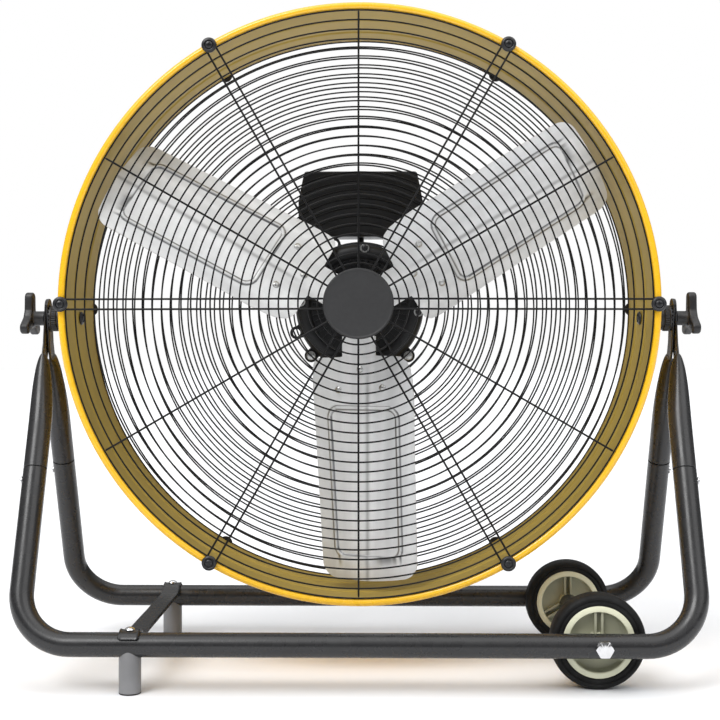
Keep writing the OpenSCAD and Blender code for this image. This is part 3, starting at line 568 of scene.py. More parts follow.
def make_legs():
    for side, lr, node in ((-1, -1, "front_leg_left"), (-1, 1, "front_leg_right"),
                           (1, -1, "rear_leg_left"), (1, 1, "rear_leg_right")):
        layer = PLATE_IN_X + PLATE_T + 0.1 if side < 0 else PLATE_IN_X
        plate_x = lr * (layer + PLATE_T / 2 - UPRIGHT_X)
        insert_r = TUBE_R - TUBE_WALL - 0.1
        rings = [crushed_section(JOINT_V - 30, 0, 2 * insert_r, 2 * insert_r)]
        rings += [crushed_section(JOINT_V + v, 0, 2 * r, 2 * r)
                  for v, r in ((0.2, insert_r), (0.4, TUBE_R - 0.5), (0.9, TUBE_R), (30, TUBE_R))]
        steps = 26
        for i in range(steps + 1):
            f = sin(pi / 2 * i / steps)
            thick = PLATE_T + (2 * TUBE_R - PLATE_T) * sqrt(max(1 - f * f, 0))
            width = 2 * TUBE_R + (PLATE_W - 2 * TUBE_R) * ease(f)
            v = FLAT_START + f * (FLAT_END - FLAT_START)
            rings.append(crushed_section(v, plate_x * ease(f), width, thick))
        knee = move(z=SLOPE_L) @ turn(side * degrees(KNEE_LEAN - LEAN), "X")
        half_bend = move(z=SLOPE_L) @ turn(side * degrees(KNEE_LEAN - LEAN) / 2, "X")
        rings.append(crushed_section(SLOPE_L - 4, plate_x, PLATE_W, PLATE_T))
        rings.append([half_bend @ Vector(p) for p in crushed_section(0, plate_x, PLATE_W, PLATE_T)])
        upper = [crushed_section(v, plate_x, PLATE_W, PLATE_T) for v in (4, PLATE_L - 8)]
        steps = 24
        for i in range(steps + 1):
            a = pi / 2 * i / steps
            v = PLATE_L + PLATE_RISE + (PLATE_W / 2 - 0.4) * sin(a)
            half = max(PLATE_W / 2 * cos(a), PLATE_T / 2 + 0.05)
            upper.append(crushed_section(v, plate_x, 2 * half, PLATE_T - 0.6 * (i / steps) ** 6))
        rings += [[knee @ Vector(p) for p in ring] for ring in upper]
        bore = placed(rod(BOLT_R + 0.1, -30, 30, 40), knee @ move(plate_x, 0, PLATE_L) @ turn(90, "Y"))
        part = cut(skin(rings), bore)
        detail(node, placed(part, leg_frame(side) @ move(lr * UPRIGHT_X)), sharp=28)
    screw = cross_screw(4.0, 2.7, 2.0, 8.0)
    screws = [placed(screw, leg_frame(side) @ move(s * (UPRIGHT_X + TUBE_R + 0.1), 0, JOINT_V - 13)
                     @ turn(s * 90, "Y")) for side in (-1, 1) for s in (-1, 1)]
    detail("leg_joint_screws", merged(*screws))


def make_feet():
    """Posts that meet the underside of the floor bars, and a plug in each."""
    post_r, wall, plug_t, n = 11.5, 2.0, 1.2, 64
    inner = post_r - wall

    def under_bar(r, drop=0.0):
        return lambda a: BAR_Z - sqrt(max((TUBE_R + 0.05) ** 2 - (r * sin(a)) ** 2, 0.0)) - drop

    rings = [polar(n, inner, plug_t), polar(n, post_r - 0.5, plug_t), polar(n, post_r, plug_t + 0.5),
             polar(n, post_r, under_bar(post_r, 0.6)), polar(n, post_r - 0.3, under_bar(post_r)),
             polar(n, inner, under_bar(inner))]
    post = skin(rings, wrap=True)
    for side, node in ((-1, "foot_post_front"), (1, "foot_post_rear")):
        detail(node, placed(post, move(FOOT_X, side * BAR_Y)), sharp=40)
    plug = lathe([(0, 0), (post_r - 0.9, 0), (post_r - 0.2, 0.3), (post_r, 0.7), (post_r - 0.1, plug_t - 0.1),
                  (inner - 0.1, plug_t - 0.1), (inner - 0.1, 13), (0, 13)], 64)
    detail("foot_plugs", merged(*[placed(plug, move(FOOT_X, side * BAR_Y)) for side in (-1, 1)]))


def make_strap():
    """A formed strip that saddles both floor bars, its edges slightly turned up."""
    half_w, thick, wrap, corner = 10.5, 3.0, 48.0, 2.5
    mid_r = TUBE_R + 0.1 + thick / 2
    drop, run = 6.0, 16.0
    side_path = arc(BAR_Y, 0, mid_r, 32.5, 180 - wrap, 30)
    y_in, z_in = side_path[-1]
    slope = [(y_in - run * f, z_in - drop * (3 * f * f - 2 * f ** 3)) for f in (0.25, 0.5, 0.75, 1.0)]
    flat = [(y, slope[-1][1]) for y in (80, 50, 20)]
    half_path = side_path + slope + [p for p in flat if p[0] < slope[-1][0] - 5]
    path = half_path + [(-y, z) for y, z in reversed(half_path)]
    lengths = [0.0]
    for a, b in zip(path, path[1:]):
        lengths.append(lengths[-1] + sqrt((b[0] - a[0]) ** 2 + (b[1] - a[1]) ** 2))
    total = lengths[-1]
    extra = [corner * (1 - cos(radians(d))) for d in (12, 25, 40, 55, 70, 82)]
    stations = sorted(set(lengths + extra + [total - e for e in extra]))
    across = 16
    rows = []
    for s in stations:
        i = max(k for k in range(len(lengths)) if lengths[k] <= s)
        i = min(i, len(path) - 2)
        f = (s - lengths[i]) / (lengths[i + 1] - lengths[i])
        p = Vector(path[i]).lerp(Vector(path[i + 1]), f)
        t = (Vector(path[i + 1]) - Vector(path[i])).normalized()
        normal = Vector((t.y, -t.x))
        end = min(s, total - s)
        half = half_w - corner + sqrt(max(corner ** 2 - max(corner - end, 0.0) ** 2, 0.0))
        row = []
        for j in range(across + 1):
            w = -half + 2 * half * j / across
            lift = 0.9 * max(abs(w) / half_w - 0.72, 0) / 0.28
            q = p + normal * lift * lift
            row.append((FOOT_X + w, q.x, BAR_Z + q.y))
        rows.append(row)
    thickened(detail("brace_strap", skin(rows, closed_rings=False)), thick, 0.5, 50)
    dome = [(0, -12), (2.5, -12), (2.5, -1.5), (5.4, 0), (5.0, 0.9), (3.9, 1.9), (2.0, 2.6), (0, 2.8)]
    top = BAR_Z + TUBE_R + thick + 0.2
    screws = [placed(lathe(dome, 48), move(FOOT_X, side * BAR_Y, top)) for side in (-1, 1)]
    detail("brace_screws", merged(*screws), sharp=50)


# ---------- wheels ----------


def hex_piece(across, height, bore=0.0):
    """A hexagon with its outer corners chamfered, from z = 0 up."""
    n = 72
    flat = across / 2

    def reach(a):
        return flat / cos(radians(degrees(a) % 60 - 30))

    def shoulder(a):
        return height - max(reach(a) - flat * 0.96, 0) * 0.55

    rings = [polar(n, reach), polar(n, reach, shoulder), polar(n, flat * 0.93, height)]
    if bore:
        return skin(rings + [polar(n, bore, height - 0.4), polar(n, bore)], wrap=True)
    return skin([[(0, 0, 0)]] + rings + [[(0, 0, height)]])


def tube_ring(r_out, r_in, height, chamfer=0.4, sides=72):
    c = chamfer
    upper = [(r_out, height - c), (r_out - c, height), (r_in, height)]
    return lathe([(r_in, 0), (r_out - c, 0), (r_out, c), *upper], sides, closed=True)


def make_axle():
    axle_r = 5.0
    low, high = box_mm("axle_bolt")
    face = BAR_Y + TUBE_R
    at = move(AXLE_X, 0, BAR_Z) @ turn(90, "X")
    head_h = -low.y - face
    end = -high.y
    shank = lathe([(0, end), (axle_r - 0.8, end), (axle_r, end + 0.8), (axle_r, face + 0.5),
                   (0, face + 0.5)], 48)
    detail("axle_bolt", merged(placed(shank, at), placed(hex_piece(16, head_h), at @ move(z=face))), sharp=25)
    nut = hex_piece(16, box_mm("axle_nut")[1].y - face, axle_r + 0.02)
    detail("axle_nut", placed(nut, move(AXLE_X, face, BAR_Z) @ turn(-90, "X")), sharp=25)
    low, high = box_mm("axle_spacer")
    spacer = tube_ring((high.z - low.z) / 2, axle_r + 0.3, high.y - low.y, 0.6)
    detail("axle_spacer", placed(spacer, move(AXLE_X, high.y, BAR_Z) @ turn(90, "X")))
    washer_t = 2.0
    outer, inner = box_mm("axle_washers")[1].y - washer_t / 2, high.y + 0.05 + washer_t / 2
    washers = [placed(tube_ring(10, axle_r + 0.2, washer_t, 0.3, 64),
                      move(AXLE_X, side * y + washer_t / 2, BAR_Z) @ turn(90, "X"))
               for side in (-1, 1) for y in (outer, inner)]
    detail("axle_washers", merged(*washers))


def make_wheels():
    for node_tyre, node_hub in ((f"wheel_{end}_tyre", f"wheel_{end}_hub") for end in ("front", "rear")):
        low, high = box_mm(node_tyre)
        y = (low.y + high.y) / 2
        half = (high.y - low.y) / 2
        r_out = (high.z - low.z) / 2
        at = move(AXLE_X, y, BAR_Z) @ turn(90, "X")
        hub_low, hub_high = box_mm(node_hub)
        rim_r = (hub_high.z - hub_low.z) / 2
        bead = rim_r + 0.02
        side_line = [(bead, 0.0), (bead, half - 1.2), (bead + 0.9, half - 0.25), (bead + 2.0, half),
                     (bead + 3.6, half), (bead + 4.1, half - 0.3), (bead + 4.3, half - 1.1),
                     (bead + 5.7, half - 1.1), (bead + 5.9, half - 0.3), (bead + 6.4, half),
                     (r_out - 4.0, half - 0.1), (r_out - 2.6, half - 0.9), (r_out - 1.2, half - 2.6),
                     (r_out - 0.3, half - 5.0), (r_out, half - 7.5)]
        profile = side_line + [(r, -z) for r, z in reversed(side_line[1:])]
        detail(node_tyre, placed(lathe(profile, 144, closed=True), at), sharp=38)
        web_r, web_half, boss_r = 31.0, 3.0, 9.0
        hub_half = (hub_high.y - hub_low.y) / 2
        axle_r = 5.08
        upper = [(axle_r, hub_half - 0.4), (axle_r + 0.5, hub_half), (boss_r - 1.0, hub_half),
                 (boss_r - 0.2, hub_half - 0.9), (boss_r + 0.5, web_half + 1.6), (boss_r + 2.0, web_half),
                 (web_r - 3.0, web_half), (web_r - 1.4, web_half + 0.9), (web_r - 0.2, web_half + 3.4),
                 (web_r + 0.3, half - 1.0), (web_r + 1.1, half), (rim_r - 1.2, half), (rim_r, half - 0.9)]
        lower = [(r, -z) for r, z in reversed(upper)]
        body = lathe(upper + lower, 144, closed=True)
        rib = prism(round_rect(web_r - boss_r + 5, 2.4, 0.8, 3), 2 * half - 4)
        ribs = [placed(rib, turn(angle, "Z") @ move((web_r + boss_r) / 2, s * 3.5, 2 - half))
                for angle in (90, 210, 330) for s in (-1, 1)]
        hub = detail(node_hub, placed(merged(body, *ribs), at), sharp=38)
        # Painted shade: the recessed web faces get the darker copy of the hub colour.
        second_material(hub, "wheel_web_shade", lambda c: abs(c.y - y) < half - 1.5
                        and boss_r + 0.6 < sqrt((c.x - AXLE_X) ** 2 + (c.z - BAR_Z) ** 2) < web_r + 0.2)


# ---------- drum and guards ----------

BEAD_R = 4.5
BEAD_RING_R = DRUM_R - BEAD_R
WALL_IN_R = BEAD_RING_R - BEAD_R + 0.3
WALL_T = 1.2
SPOKE_R = 1.1
RING_R = 0.9
GUARD_SLOPE = 0.05
SPOKE_Y = RIM_Y + SPOKE_R
RING_STEP = SPOKE_R + RING_R + 0.03
CUP_Y = RIM_Y + 2 * SPOKE_R + 0.51
RING_PITCH = 10.55
FIRST_RING_R = 318.1


def spoke_at(r):
    return SPOKE_Y + GUARD_SLOPE * (BEAD_RING_R - min(r, BEAD_RING_R))


def make_drum():
    """Rolled sheet: a wall with two pressed ribs, and both edges rolled outwards over a wire."""
    half = RIM_Y
    rib_y, rib_h, rib_w = 27.0, 2.0, 4.2

    def ribs(y):
        return sum(rib_h * exp(-((y - s * rib_y) / (rib_w / 1.6)) ** 2) for s in (-1, 1))

    def wall(offset):
        heights = [(half - BEAD_R) * i / 70 for i in range(-70, 71)]
        return [(WALL_IN_R + ribs(y) + offset, y) for y in heights]

    inside = wall(0.0)
    outside = wall(WALL_T)
    front_roll = arc(BEAD_RING_R, half - BEAD_R, BEAD_R, 184, -60, 22)
    curl = arc(BEAD_RING_R, half - BEAD_R, BEAD_R - WALL_T, -60, 150, 16)
    upper = front_roll + curl
    profile = inside + upper + outside[::-1][4:-4] + [(r, -z) for r, z in reversed(upper)]
    part = lathe(profile, 240, closed=True)
    shell = detail("drum_shell", placed(part, drum_frame(0)), sharp=50)
    # Painted shade: the inner wall faces get the darker copy of the yellow paint.
    lining_r = WALL_IN_R + rib_h + 0.4
    second_material(shell, "drum_lining_shade", lambda c: abs(c.y) < half - BEAD_R
                    and sqrt(c.x ** 2 + (c.z - DRUM_Z) ** 2) < min(lining_r, WALL_IN_R + 0.4 + ribs(c.y)))


def on_cone(side, angle, r, offset, lift=0.0):
    """A point beside a radius of a guard; side is -1 for the front, 1 for the rear."""
    a = radians(angle)
    return (r * cos(a) - offset * sin(a), side * (spoke_at(r) + lift), DRUM_Z + r * sin(a) + offset * cos(a))


def rim_place(side, angle, y):
    base = drum_frame(-y) if side < 0 else drum_back(y)
    return base @ turn(angle, "Z") @ move(BEAD_RING_R)


def make_guards():
    def cone_rings(side, first, count):
        radii = [first - i * RING_PITCH for i in range(count)]
        return [placed(torus(r, RING_R), drum_frame(side * (spoke_at(r) - RING_STEP))) for r in radii]

    detail("front_guard_rings", merged(*cone_rings(-1, FIRST_RING_R, 27)), sharp=60)
    rings = cone_rings(1, FIRST_RING_R - 5.7, 23)
    edge_r = BEAD_RING_R - 2.5 - SPOKE_R - 0.2
    rings.append(placed(torus(edge_r, SPOKE_R, sides=200, section=12), drum_frame(SPOKE_Y)))
    detail("rear_guard_rings", merged(*rings), sharp=60)
    wires = []
    gap = 5.45
    inner_r = 33.0
    for i in range(6):
        path = [on_cone(-1, 60 * i, r, -gap) for r in (inner_r, 60, 120, 200, 280, BEAD_RING_R - 6)]
        path += [on_cone(-1, 60 * i, BEAD_RING_R + gap * 0.42 * cos(radians(a)), gap * sin(radians(a)))
                 for a in range(-90, 91, 15)]
        path += [on_cone(-1, 60 * i, r, gap) for r in (BEAD_RING_R - 6, 280, 200, 120, 60, inner_r)]
        wires.append(sweep(path, SPOKE_R))
        path = [on_cone(-1, 30 + 60 * i, r, 0) for r in (inner_r, 100, 200, 300, 315.5)]
        wires.append(sweep(path, SPOKE_R))
    detail("front_guard_spokes", merged(*wires), sharp=60)
    stations = (70, 150, 230, 300, edge_r - SPOKE_R - 0.1)
    wires = [sweep([on_cone(1, 30 + 120 * i, r, 0) for r in stations], SPOKE_R) for i in range(3)]
    detail("rear_guard_spokes", merged(*wires), sharp=60)


def make_guard_middle():
    low, high = box_mm("front_hub_plate")
    plate_r = (high.z - low.z) / 2
    plate = lathe([(0, 0), (plate_r - 0.3, 0), (plate_r, 0.3), (plate_r, 0.9), (plate_r - 0.3, 1.2),
                   (0, 1.2)], 96)
    detail("front_hub_plate", placed(plate, drum_frame(high.y)))
    low, high = box_mm("front_guard_cap")
    cap_r = (high.z - low.z) / 2
    h = high.y - low.y
    face = h - 0.9
    profile = [(0, 0), (cap_r - 0.4, 0), (cap_r, 0.4), (cap_r, h - 1.6), (cap_r - 0.5, h - 0.5),
               (cap_r - 1.3, h), (cap_r - 2.0, h - 0.1), (cap_r - 2.8, face + 0.1), (cap_r - 3.4, face),
               (cap_r * 0.6, face + 0.12), (cap_r * 0.3, face + 0.2), (0, face + 0.22)]
    detail("front_guard_cap", placed(lathe(profile, 120), drum_frame(high.y)), sharp=40)


def make_rim_hardware():
    screw_r, cup_r = 2.5, 8.2
    cup = lathe([(screw_r + 0.15, 0), (cup_r - 0.2, 0), (cup_r, 0.3), (cup_r, 1.4), (cup_r - 0.5, 2.4),
                 (cup_r - 1.6, 3.05), (cup_r - 2.6, 3.2), (cup_r - 3.2, 2.9), (cup_r - 3.7, 1.8),
                 (screw_r + 0.15, 1.6)], 56, closed=True)
    screw = cross_screw(4.0, 2.3, screw_r, 12.5)
    cups = [placed(cup, rim_place(side, 60 * i, CUP_Y)) for side in (-1, 1) for i in range(6)]
    screws = [placed(screw, rim_place(side, 60 * i, CUP_Y + 1.7) @ turn(17 * i + 11, "Z"))
              for side in (-1, 1) for i in range(6)]
    detail("cup_washers", merged(*cups), sharp=35)
    detail("rim_screws", merged(*screws))


# ---------- tilt pivot ----------


def make_bosses():
    """Cylinders that meet the drum's curved wall, with a groove near the outer end."""
    boss_r, bore_r, start_x, n = 13.5, 4.2, 300, 72
    end = box_mm("pivot_bosses")[1].x - start_x
    bosses = []
    for lr in (-1, 1):
        def on_wall(r):
            # Local X is down on the right side and up on the left
            rise = PIVOT_Z - DRUM_Z
            return lambda a: sqrt((WALL_IN_R + WALL_T + 0.15) ** 2 - (rise - lr * r * cos(a)) ** 2) - start_x

        line = [(boss_r, end - 7.5), (boss_r - 0.7, end - 6.6), (boss_r - 0.7, end - 5.4),
                (boss_r, end - 4.6), (boss_r, end - 0.5), (boss_r - 0.5, end), (bore_r, end)]
        rings = [polar(n, bore_r, on_wall(bore_r)), polar(n, boss_r, on_wall(boss_r))]
        rings += [polar(n, r, z) for r, z in line]
        bosses.append(placed(skin(rings, wrap=True), pivot_frame(lr, start_x)))
    detail("pivot_bosses", merged(*bosses), sharp=35)


def make_collars():
    """Collars with fine grip grooves round them and teeth on the outer face."""
    n, teeth, grooves, r, bore_r, length = 240, 20, 40, 14.7, 4.2, 8.6

    def wave(a, count, half):
        return max(0.0, 1 - abs((count * a / (2 * pi)) % 1.0 - 0.5) / half)

    def toothed(scale, z, notch):
        return polar(n, r * scale, lambda a: z - notch * wave(a, teeth, 0.28))

    def grip(a):
        return r - 0.7 * wave(a, grooves, 0.35)

    rings = [polar(n, bore_r), polar(n, 0.95 * r), polar(n, grip, 0.7), polar(n, grip, length - 3.4),
             toothed(0.97, length - 3.0, 0), toothed(1.0, length - 2.4, 0), toothed(1.0, length, 1.5),
             toothed(0.62, length, 1.2), toothed(0.60, length - 1.4, 0), toothed(bore_r / r, length - 1.4, 0)]
    inner_x = box_mm("toothed_collars")[1].x - length
    collars = [placed(skin(rings, wrap=True), pivot_frame(lr, inner_x)) for lr in (-1, 1)]
    detail("toothed_collars", merged(*collars), sharp=30)


def make_pivot_bolts():
    head_x = WALL_IN_R - 0.9
    length = box_mm("pivot_bolts")[1].x - head_x
    head = [(0, -3.0), (2.8, -3.0), (3.0, -1.6), (4.6, -1.6), (4.8, -3.0), (5.6, -2.9), (6.8, -2.1),
            (7.5, -1.0), (7.5, -0.4), (BOLT_R, -0.2)]
    shank = [(BOLT_R, length - 0.8), (BOLT_R - 0.8, length), (0, length)]
    bolts = [placed(lathe(head + shank, 48), pivot_frame(lr, head_x)) for lr in (-1, 1)]
    detail("pivot_bolts", merged(*bolts), sharp=35)


def smooth_union(values, k):
    """A soft minimum, so that meeting shapes get a fillet."""
    total = sum(exp(-v / k) for v in values)
    return -k * log(total)


def lobed_outline(lobe_r, reach, core_r, root_half, n=220):
    """The outline of three tapered lobes round a core, as radius over angle."""
    def inside(x, y):
        distances = [sqrt(x * x + y * y) - core_r]
        for i in range(3):
            a = 2 * pi * i / 3
            u, v = x * cos(a) + y * sin(a), -x * sin(a) + y * cos(a)
            f = min(max(u / (reach - lobe_r), 0.0), 1.0)
            half = root_half + (lobe_r - root_half) * f
            distances.append(sqrt((u - f * (reach - lobe_r)) ** 2 + v * v) - half)
        return smooth_union(distances, 0.7)

    outline = []
    for j in range(n):
        a = 2 * pi * j / n
        near, far = 0.0, reach + 4
        for _ in range(30):
            mid = (near + far) / 2
            if inside(mid * cos(a), mid * sin(a)) < 0:
                near = mid
            else:
                far = mid
        outline.append((min(near, reach) * cos(a), min(near, reach) * sin(a)))
    return outline


def inset(outline, d):
    """The outline moved inwards along its own normals."""
    n = len(outline)
    moved = []
    for i, (x, y) in enumerate(outline):
        ax, ay = outline[i - 1]
        bx, by = outline[(i + 1) % n]
        tx, ty = bx - ax, by - ay
        length = sqrt(tx * tx + ty * ty) or 1.0
        moved.append((x - d * ty / length, y + d * tx / length))
    return moved


def make_tilt_knobs():
    lobe_r, reach, stem_r = 6.6, 29.5, 8.15
    outline = lobed_outline(lobe_r, reach, 11.0, 8.0)
    for lr, node in ((-1, "tilt_knob_left"), (1, "tilt_knob_right")):
        low, high = box_mm(node)
        inner_x, top = (-high.x if lr < 0 else low.x), high.x - low.x
        lobe_t, rounding = 10.0, 2.6
        base = top - lobe_t
        rings = []
        for level, way, angles in ((base, 1, (0, 25, 50, 75, 90)), (top, -1, (90, 70, 45, 22, 0))):
            for a in angles:
                narrower = inset(outline, rounding * (1 - sin(radians(a))))
                z = level + way * rounding * (1 - cos(radians(a)))
                rings.append([(x, y, z) for x, y in narrower])
        flat = rings[-1]
        dish = [[(x * f, y * f, top - drop) for x, y, _ in flat] for f, drop in ((0.9, 0.25), (0.6, 0.4))]
        hollow = [polar(len(outline), r, top - drop) for r, drop in ((7.2, 0.5), (6.9, 1.3), (6.6, 1.5))]
        lobes = skin([[(0, 0, base)]] + rings + dish + hollow + [[(0, 0, top - 1.5)]])
        stem = lathe([(BOLT_R + 0.1, 0), (stem_r - 0.5, 0), (stem_r, 0.5), (stem_r, base - 2.0),
                      (stem_r + 0.6, base - 0.7), (stem_r + 1.8, base + 0.6), (BOLT_R + 0.1, base + 0.6)],
                     64, closed=True)
        bore = rod(BOLT_R + 0.1, -1, 18.6, 40)
        turn_back = turn(0 if lr < 0 else 180, "Z")
        part = merged(placed(cut(lobes, bore), turn_back), stem)
        detail(node, placed(part, pivot_frame(lr, inner_x)), sharp=40)


# ---------- motor ----------

MOTOR_R = 73.0
MOTOR_FRONT, MOTOR_BACK = 0.0, 80.0
SHAFT_R = 6.0
BOLT_CIRCLE = MOTOR_R - 5.8
EAR_R, EAR_FRONT = MOTOR_R + 5.5, 11.0


def make_motor_front():
    """The front bell: vent slots with a dark backing behind them as painted shade inside the bell, bolt pads, lugs
    and ears.
    """
    bell_h = 17.0
    face = [(SHAFT_R + 1, 3.0), (12, 2.2), (13, 0.4), (19.5, 0.2), (21, 0.8), (22, 2.6), (26, 2.8), (27, 2.0),
            (38, 2.0), (39.5, 3.2), (41, 3.2), (55, 3.2), (57, 1.6), (59.5, 1.2), (66, 2.0), (69.5, 4.2),
            (71.6, 6.6), (MOTOR_R, 9.5), (MOTOR_R, bell_h)]
    inner = [(MOTOR_R - 2.2, bell_h), (MOTOR_R - 2.4, 11.0), (68, 7.5), (64, 5.6), (41, 5.4), (20.5, 5.4),
             (20.5, 15), (16.1, 15), (16.1, 5.2), (SHAFT_R + 1, 5.2)]
    shell = lathe(face + inner, 144, closed=True)
    slot = placed(prism(round_rect(12.5, 3.0, 1.45, 5), 12), move(48, 0, -1))
    bolt_hole = placed(rod(2.3, -1, 20, 24), move(BOLT_CIRCLE))
    pad = placed(lathe([(0, 0.6), (5.0, 0.6), (5.4, 1.0), (5.6, 10), (0, 10)], 36), move(BOLT_CIRCLE))
    lug_x = MOTOR_R + 5
    lug_outline = arc(lug_x, 0, 7.4, -110, 110, 22) + [(MOTOR_R - 4, 9.5), (MOTOR_R - 4, -9.5)]
    lug = placed(prism(lug_outline, 5, [circle(4.3, 28, lug_x)]), move(z=bell_h - 6))
    front = cut(shell, around(slot, 48, 3.75), around(bolt_hole, 4, 5))
    pads = cut(around(pad, 4, 5), around(bolt_hole, 4, 5))
    ear_pad = lathe([(0, 0), (7.2, 0), (7.6, 0.4), (7.6, 4.6), (7.2, 5), (0, 5)], 48)
    ear = cut(merged(placed(ear_pad, move(EAR_R)), placed(block(8, 14, 4.8), move(EAR_R - 4, 0, 2.5))),
              placed(rod(2.7, -1, 6, 28), move(EAR_R)))
    ears = around(placed(ear, move(z=EAR_FRONT)), 4, 45)
    # Painted shade: a dark ring closes the slots from behind, standing in for the shade inside the motor.
    shade_backing = lathe([(40.5, 5.3), (60, 5.5), (60, 6.3), (40.5, 6.3)], 96, closed=True)
    bell = merged(front, pads, shade_backing, ears, around(lug, 4, -22))
    detail("motor_front_bell", placed(bell, drum_back(MOTOR_FRONT)), sharp=30)


def make_motor_housing():
    """The finned barrel and the plain bell behind it."""
    low, high = box_mm("motor_housing")
    length = high.y - low.y
    steps = [(MOTOR_R - 2, 0), (MOTOR_R - 0.4, 0), (MOTOR_R, 0.4)]
    for i in range(9):
        y = 5 + i * (length - 10) / 8
        steps += [(MOTOR_R, y - 1.0), (MOTOR_R - 1.0, y - 0.7), (MOTOR_R - 1.0, y + 0.7), (MOTOR_R, y + 1.0)]
    steps += [(MOTOR_R, length - 0.4), (MOTOR_R - 0.4, length), (MOTOR_R - 2, length)]
    detail("motor_housing", placed(lathe(steps, 144, closed=True), drum_back(low.y)), sharp=30)
    low, high = box_mm("motor_rear_bell")
    h = high.y - low.y
    back = [(MOTOR_R - 10, 0), (MOTOR_R - 0.4, 0), (MOTOR_R, 0.4), (MOTOR_R, h - 3.6),
            (MOTOR_R - 0.9, h - 1.4), (MOTOR_R - 2.8, h), (46, h), (44, h - 1.2), (24, h - 1.2), (22.5, h),
            (16.1, h), (16.1, 1), (19.5, 1), (19.5, h - 4), (MOTOR_R - 12, h - 4), (MOTOR_R - 10, h - 6)]
    detail("motor_rear_bell", placed(lathe(back, 144, closed=True), drum_back(low.y)), sharp=30)


def make_through_bolts():
    """The mounting plate, and the bolts that hold it and the motor together."""
    low, high = box_mm("motor_mount_plate")
    plate_t = high.y - low.y
    holes = [circle(17, 48), circle(5.5, 28, 0, -58)]
    for i in range(4):
        angle = radians(5 + 90 * i)
        holes.append(circle(2.3, 20, BOLT_CIRCLE * cos(angle), BOLT_CIRCLE * sin(angle)))
    plate = prism(circle(MOTOR_R - 1, 120), plate_t, holes)
    detail("motor_mount_plate", placed(plate, drum_back(low.y)), bevel=0.5)
    low, high = box_mm("motor_through_bolts")
    end = high.y - low.y - 2.8
    bolt = merged(placed(cross_screw(3.7, 2.8, 2.0, 6.0), turn(180, "X")),
                  lathe([(0, 0), (2.0, 0), (2.0, end - 0.4), (1.4, end), (0, end)], 28),
                  placed(hex_piece(7, 3.4, 2.02), move(z=MOTOR_BACK + plate_t + 0.4)))
    washer = lathe([(2.1, 0.02), (5.2, 0.02), (5.2, 0.7), (2.1, 0.7)], 40, closed=True)
    bolts, washers = [placed(around(placed(part, move(BOLT_CIRCLE)), 4, 5), drum_back(low.y + 2.9))
                      for part in (bolt, washer)]
    detail("motor_through_bolts", bolts, sharp=30)
    extra("motor_through_bolts_washers", washers, "motor_through_bolts", "bright_steel")


def make_ear_bolts():
    low, high = box_mm("motor_ear_bolts")
    washer_t = 1.2
    head = placed(hex_piece(8, 4), move(z=4) @ turn(180, "X"))
    flange = lathe([(0, 3.9), (4.9, 3.9), (5.2, 4.2), (5.2, 3.9 + washer_t), (0, 3.9 + washer_t)], 48)
    end = high.y - low.y
    shank = lathe([(0, 3.9), (2.5, 3.9), (2.5, end - 0.8), (1.8, end), (0, end)], 32)
    bolt = placed(merged(head, flange, shank), move(EAR_R))
    detail("motor_ear_bolts", placed(around(bolt, 4, 45), drum_back(low.y)), sharp=30)


def make_shaft():
    low, high = box_mm("motor_shaft")
    end = high.y - low.y
    shaft = lathe([(0, 0), (SHAFT_R - 0.8, 0), (SHAFT_R, 0.8), (SHAFT_R, end - 0.6), (SHAFT_R - 0.6, end),
                   (0, end)], 64)
    detail("motor_shaft", placed(shaft, drum_back(low.y)))
    low, high = box_mm("hub_nut")
    detail("hub_nut", placed(hex_piece(19, high.y - low.y, SHAFT_R + 0.02), drum_frame(high.y)), sharp=25)


# ---------- blades ----------

ROTOR_Y = -24.0
PITCH = 25.0
TIP_R = 306.6
RIVETS = ((93.8, -25.7), (91.3, 29.1), (70.7, 1.7))
CREASE_W = 11.0
ARM_ANGLES = (270, 150, 30)


def blade_frame(angle, lift=0.0):
    return (move(0, ROTOR_Y, DRUM_Z) @ turn(-angle, "Y") @ turn(PITCH, "X") @ turn(90, "X") @ move(z=lift))


def camber(u, w):
    """How far the sheet falls back on each side of its radial crease."""
    d = sqrt((w - CREASE_W) ** 2 + 36.0) - 6.0
    fade = min(max((u - 50.0) / 70.0, 0.0), 1.0)
    return -0.045 * d * fade


def ease(x):
    x = min(max(x, 0.0), 1.0)
    return x * x * (3 - 2 * x)


def rib_height(u, w):
    """The pressed rounded-rectangle line."""
    f = (u - 127.0) / 152.0
    left, right = -37.0 + 9.4 * f, 47.0 + 4.0 * f
    centre, half_w = (left + right) / 2, (right - left) / 2
    half_l, corner = (281.0 - 114.0) / 2, 12.0
    x, y = abs(u - 197.5) - (half_l - corner), abs(w - centre) - (half_w - corner)
    outside = sqrt(max(x, 0.0) ** 2 + max(y, 0.0) ** 2) + min(max(x, y), 0.0) - corner
    return 1.5 * ease(1.5 - abs(outside) / 1.9)


def blade_edges(u):
    """The blade's lowest and highest width at one radius."""
    def along(points):
        for (u0, w0), (u1, w1) in zip(points, points[1:]):
            if u <= u1:
                return w0 + (w1 - w0) * max(u - u0, 0.0) / (u1 - u0)
        return points[-1][1]

    left = along([(34, -20.5), (56.5, -20.5), (57.4, -24), (57.6, -44), (58.2, -50.5), (60.5, -54.5),
                  (64.5, -57.2), (72, -58.6), (95, -58.6), (131, -56.2), (293, -45.6), (320, -43.6)])
    right = along([(34, 20.5), (55.0, 20.5), (55.8, 24), (56.0, 47.0), (58.0, 53.0), (62, 58.2), (70, 62.4),
                   (82, 64.8), (104, 66.6), (140, 66.6), (293, 69.8), (320, 70.2)])
    return left, right


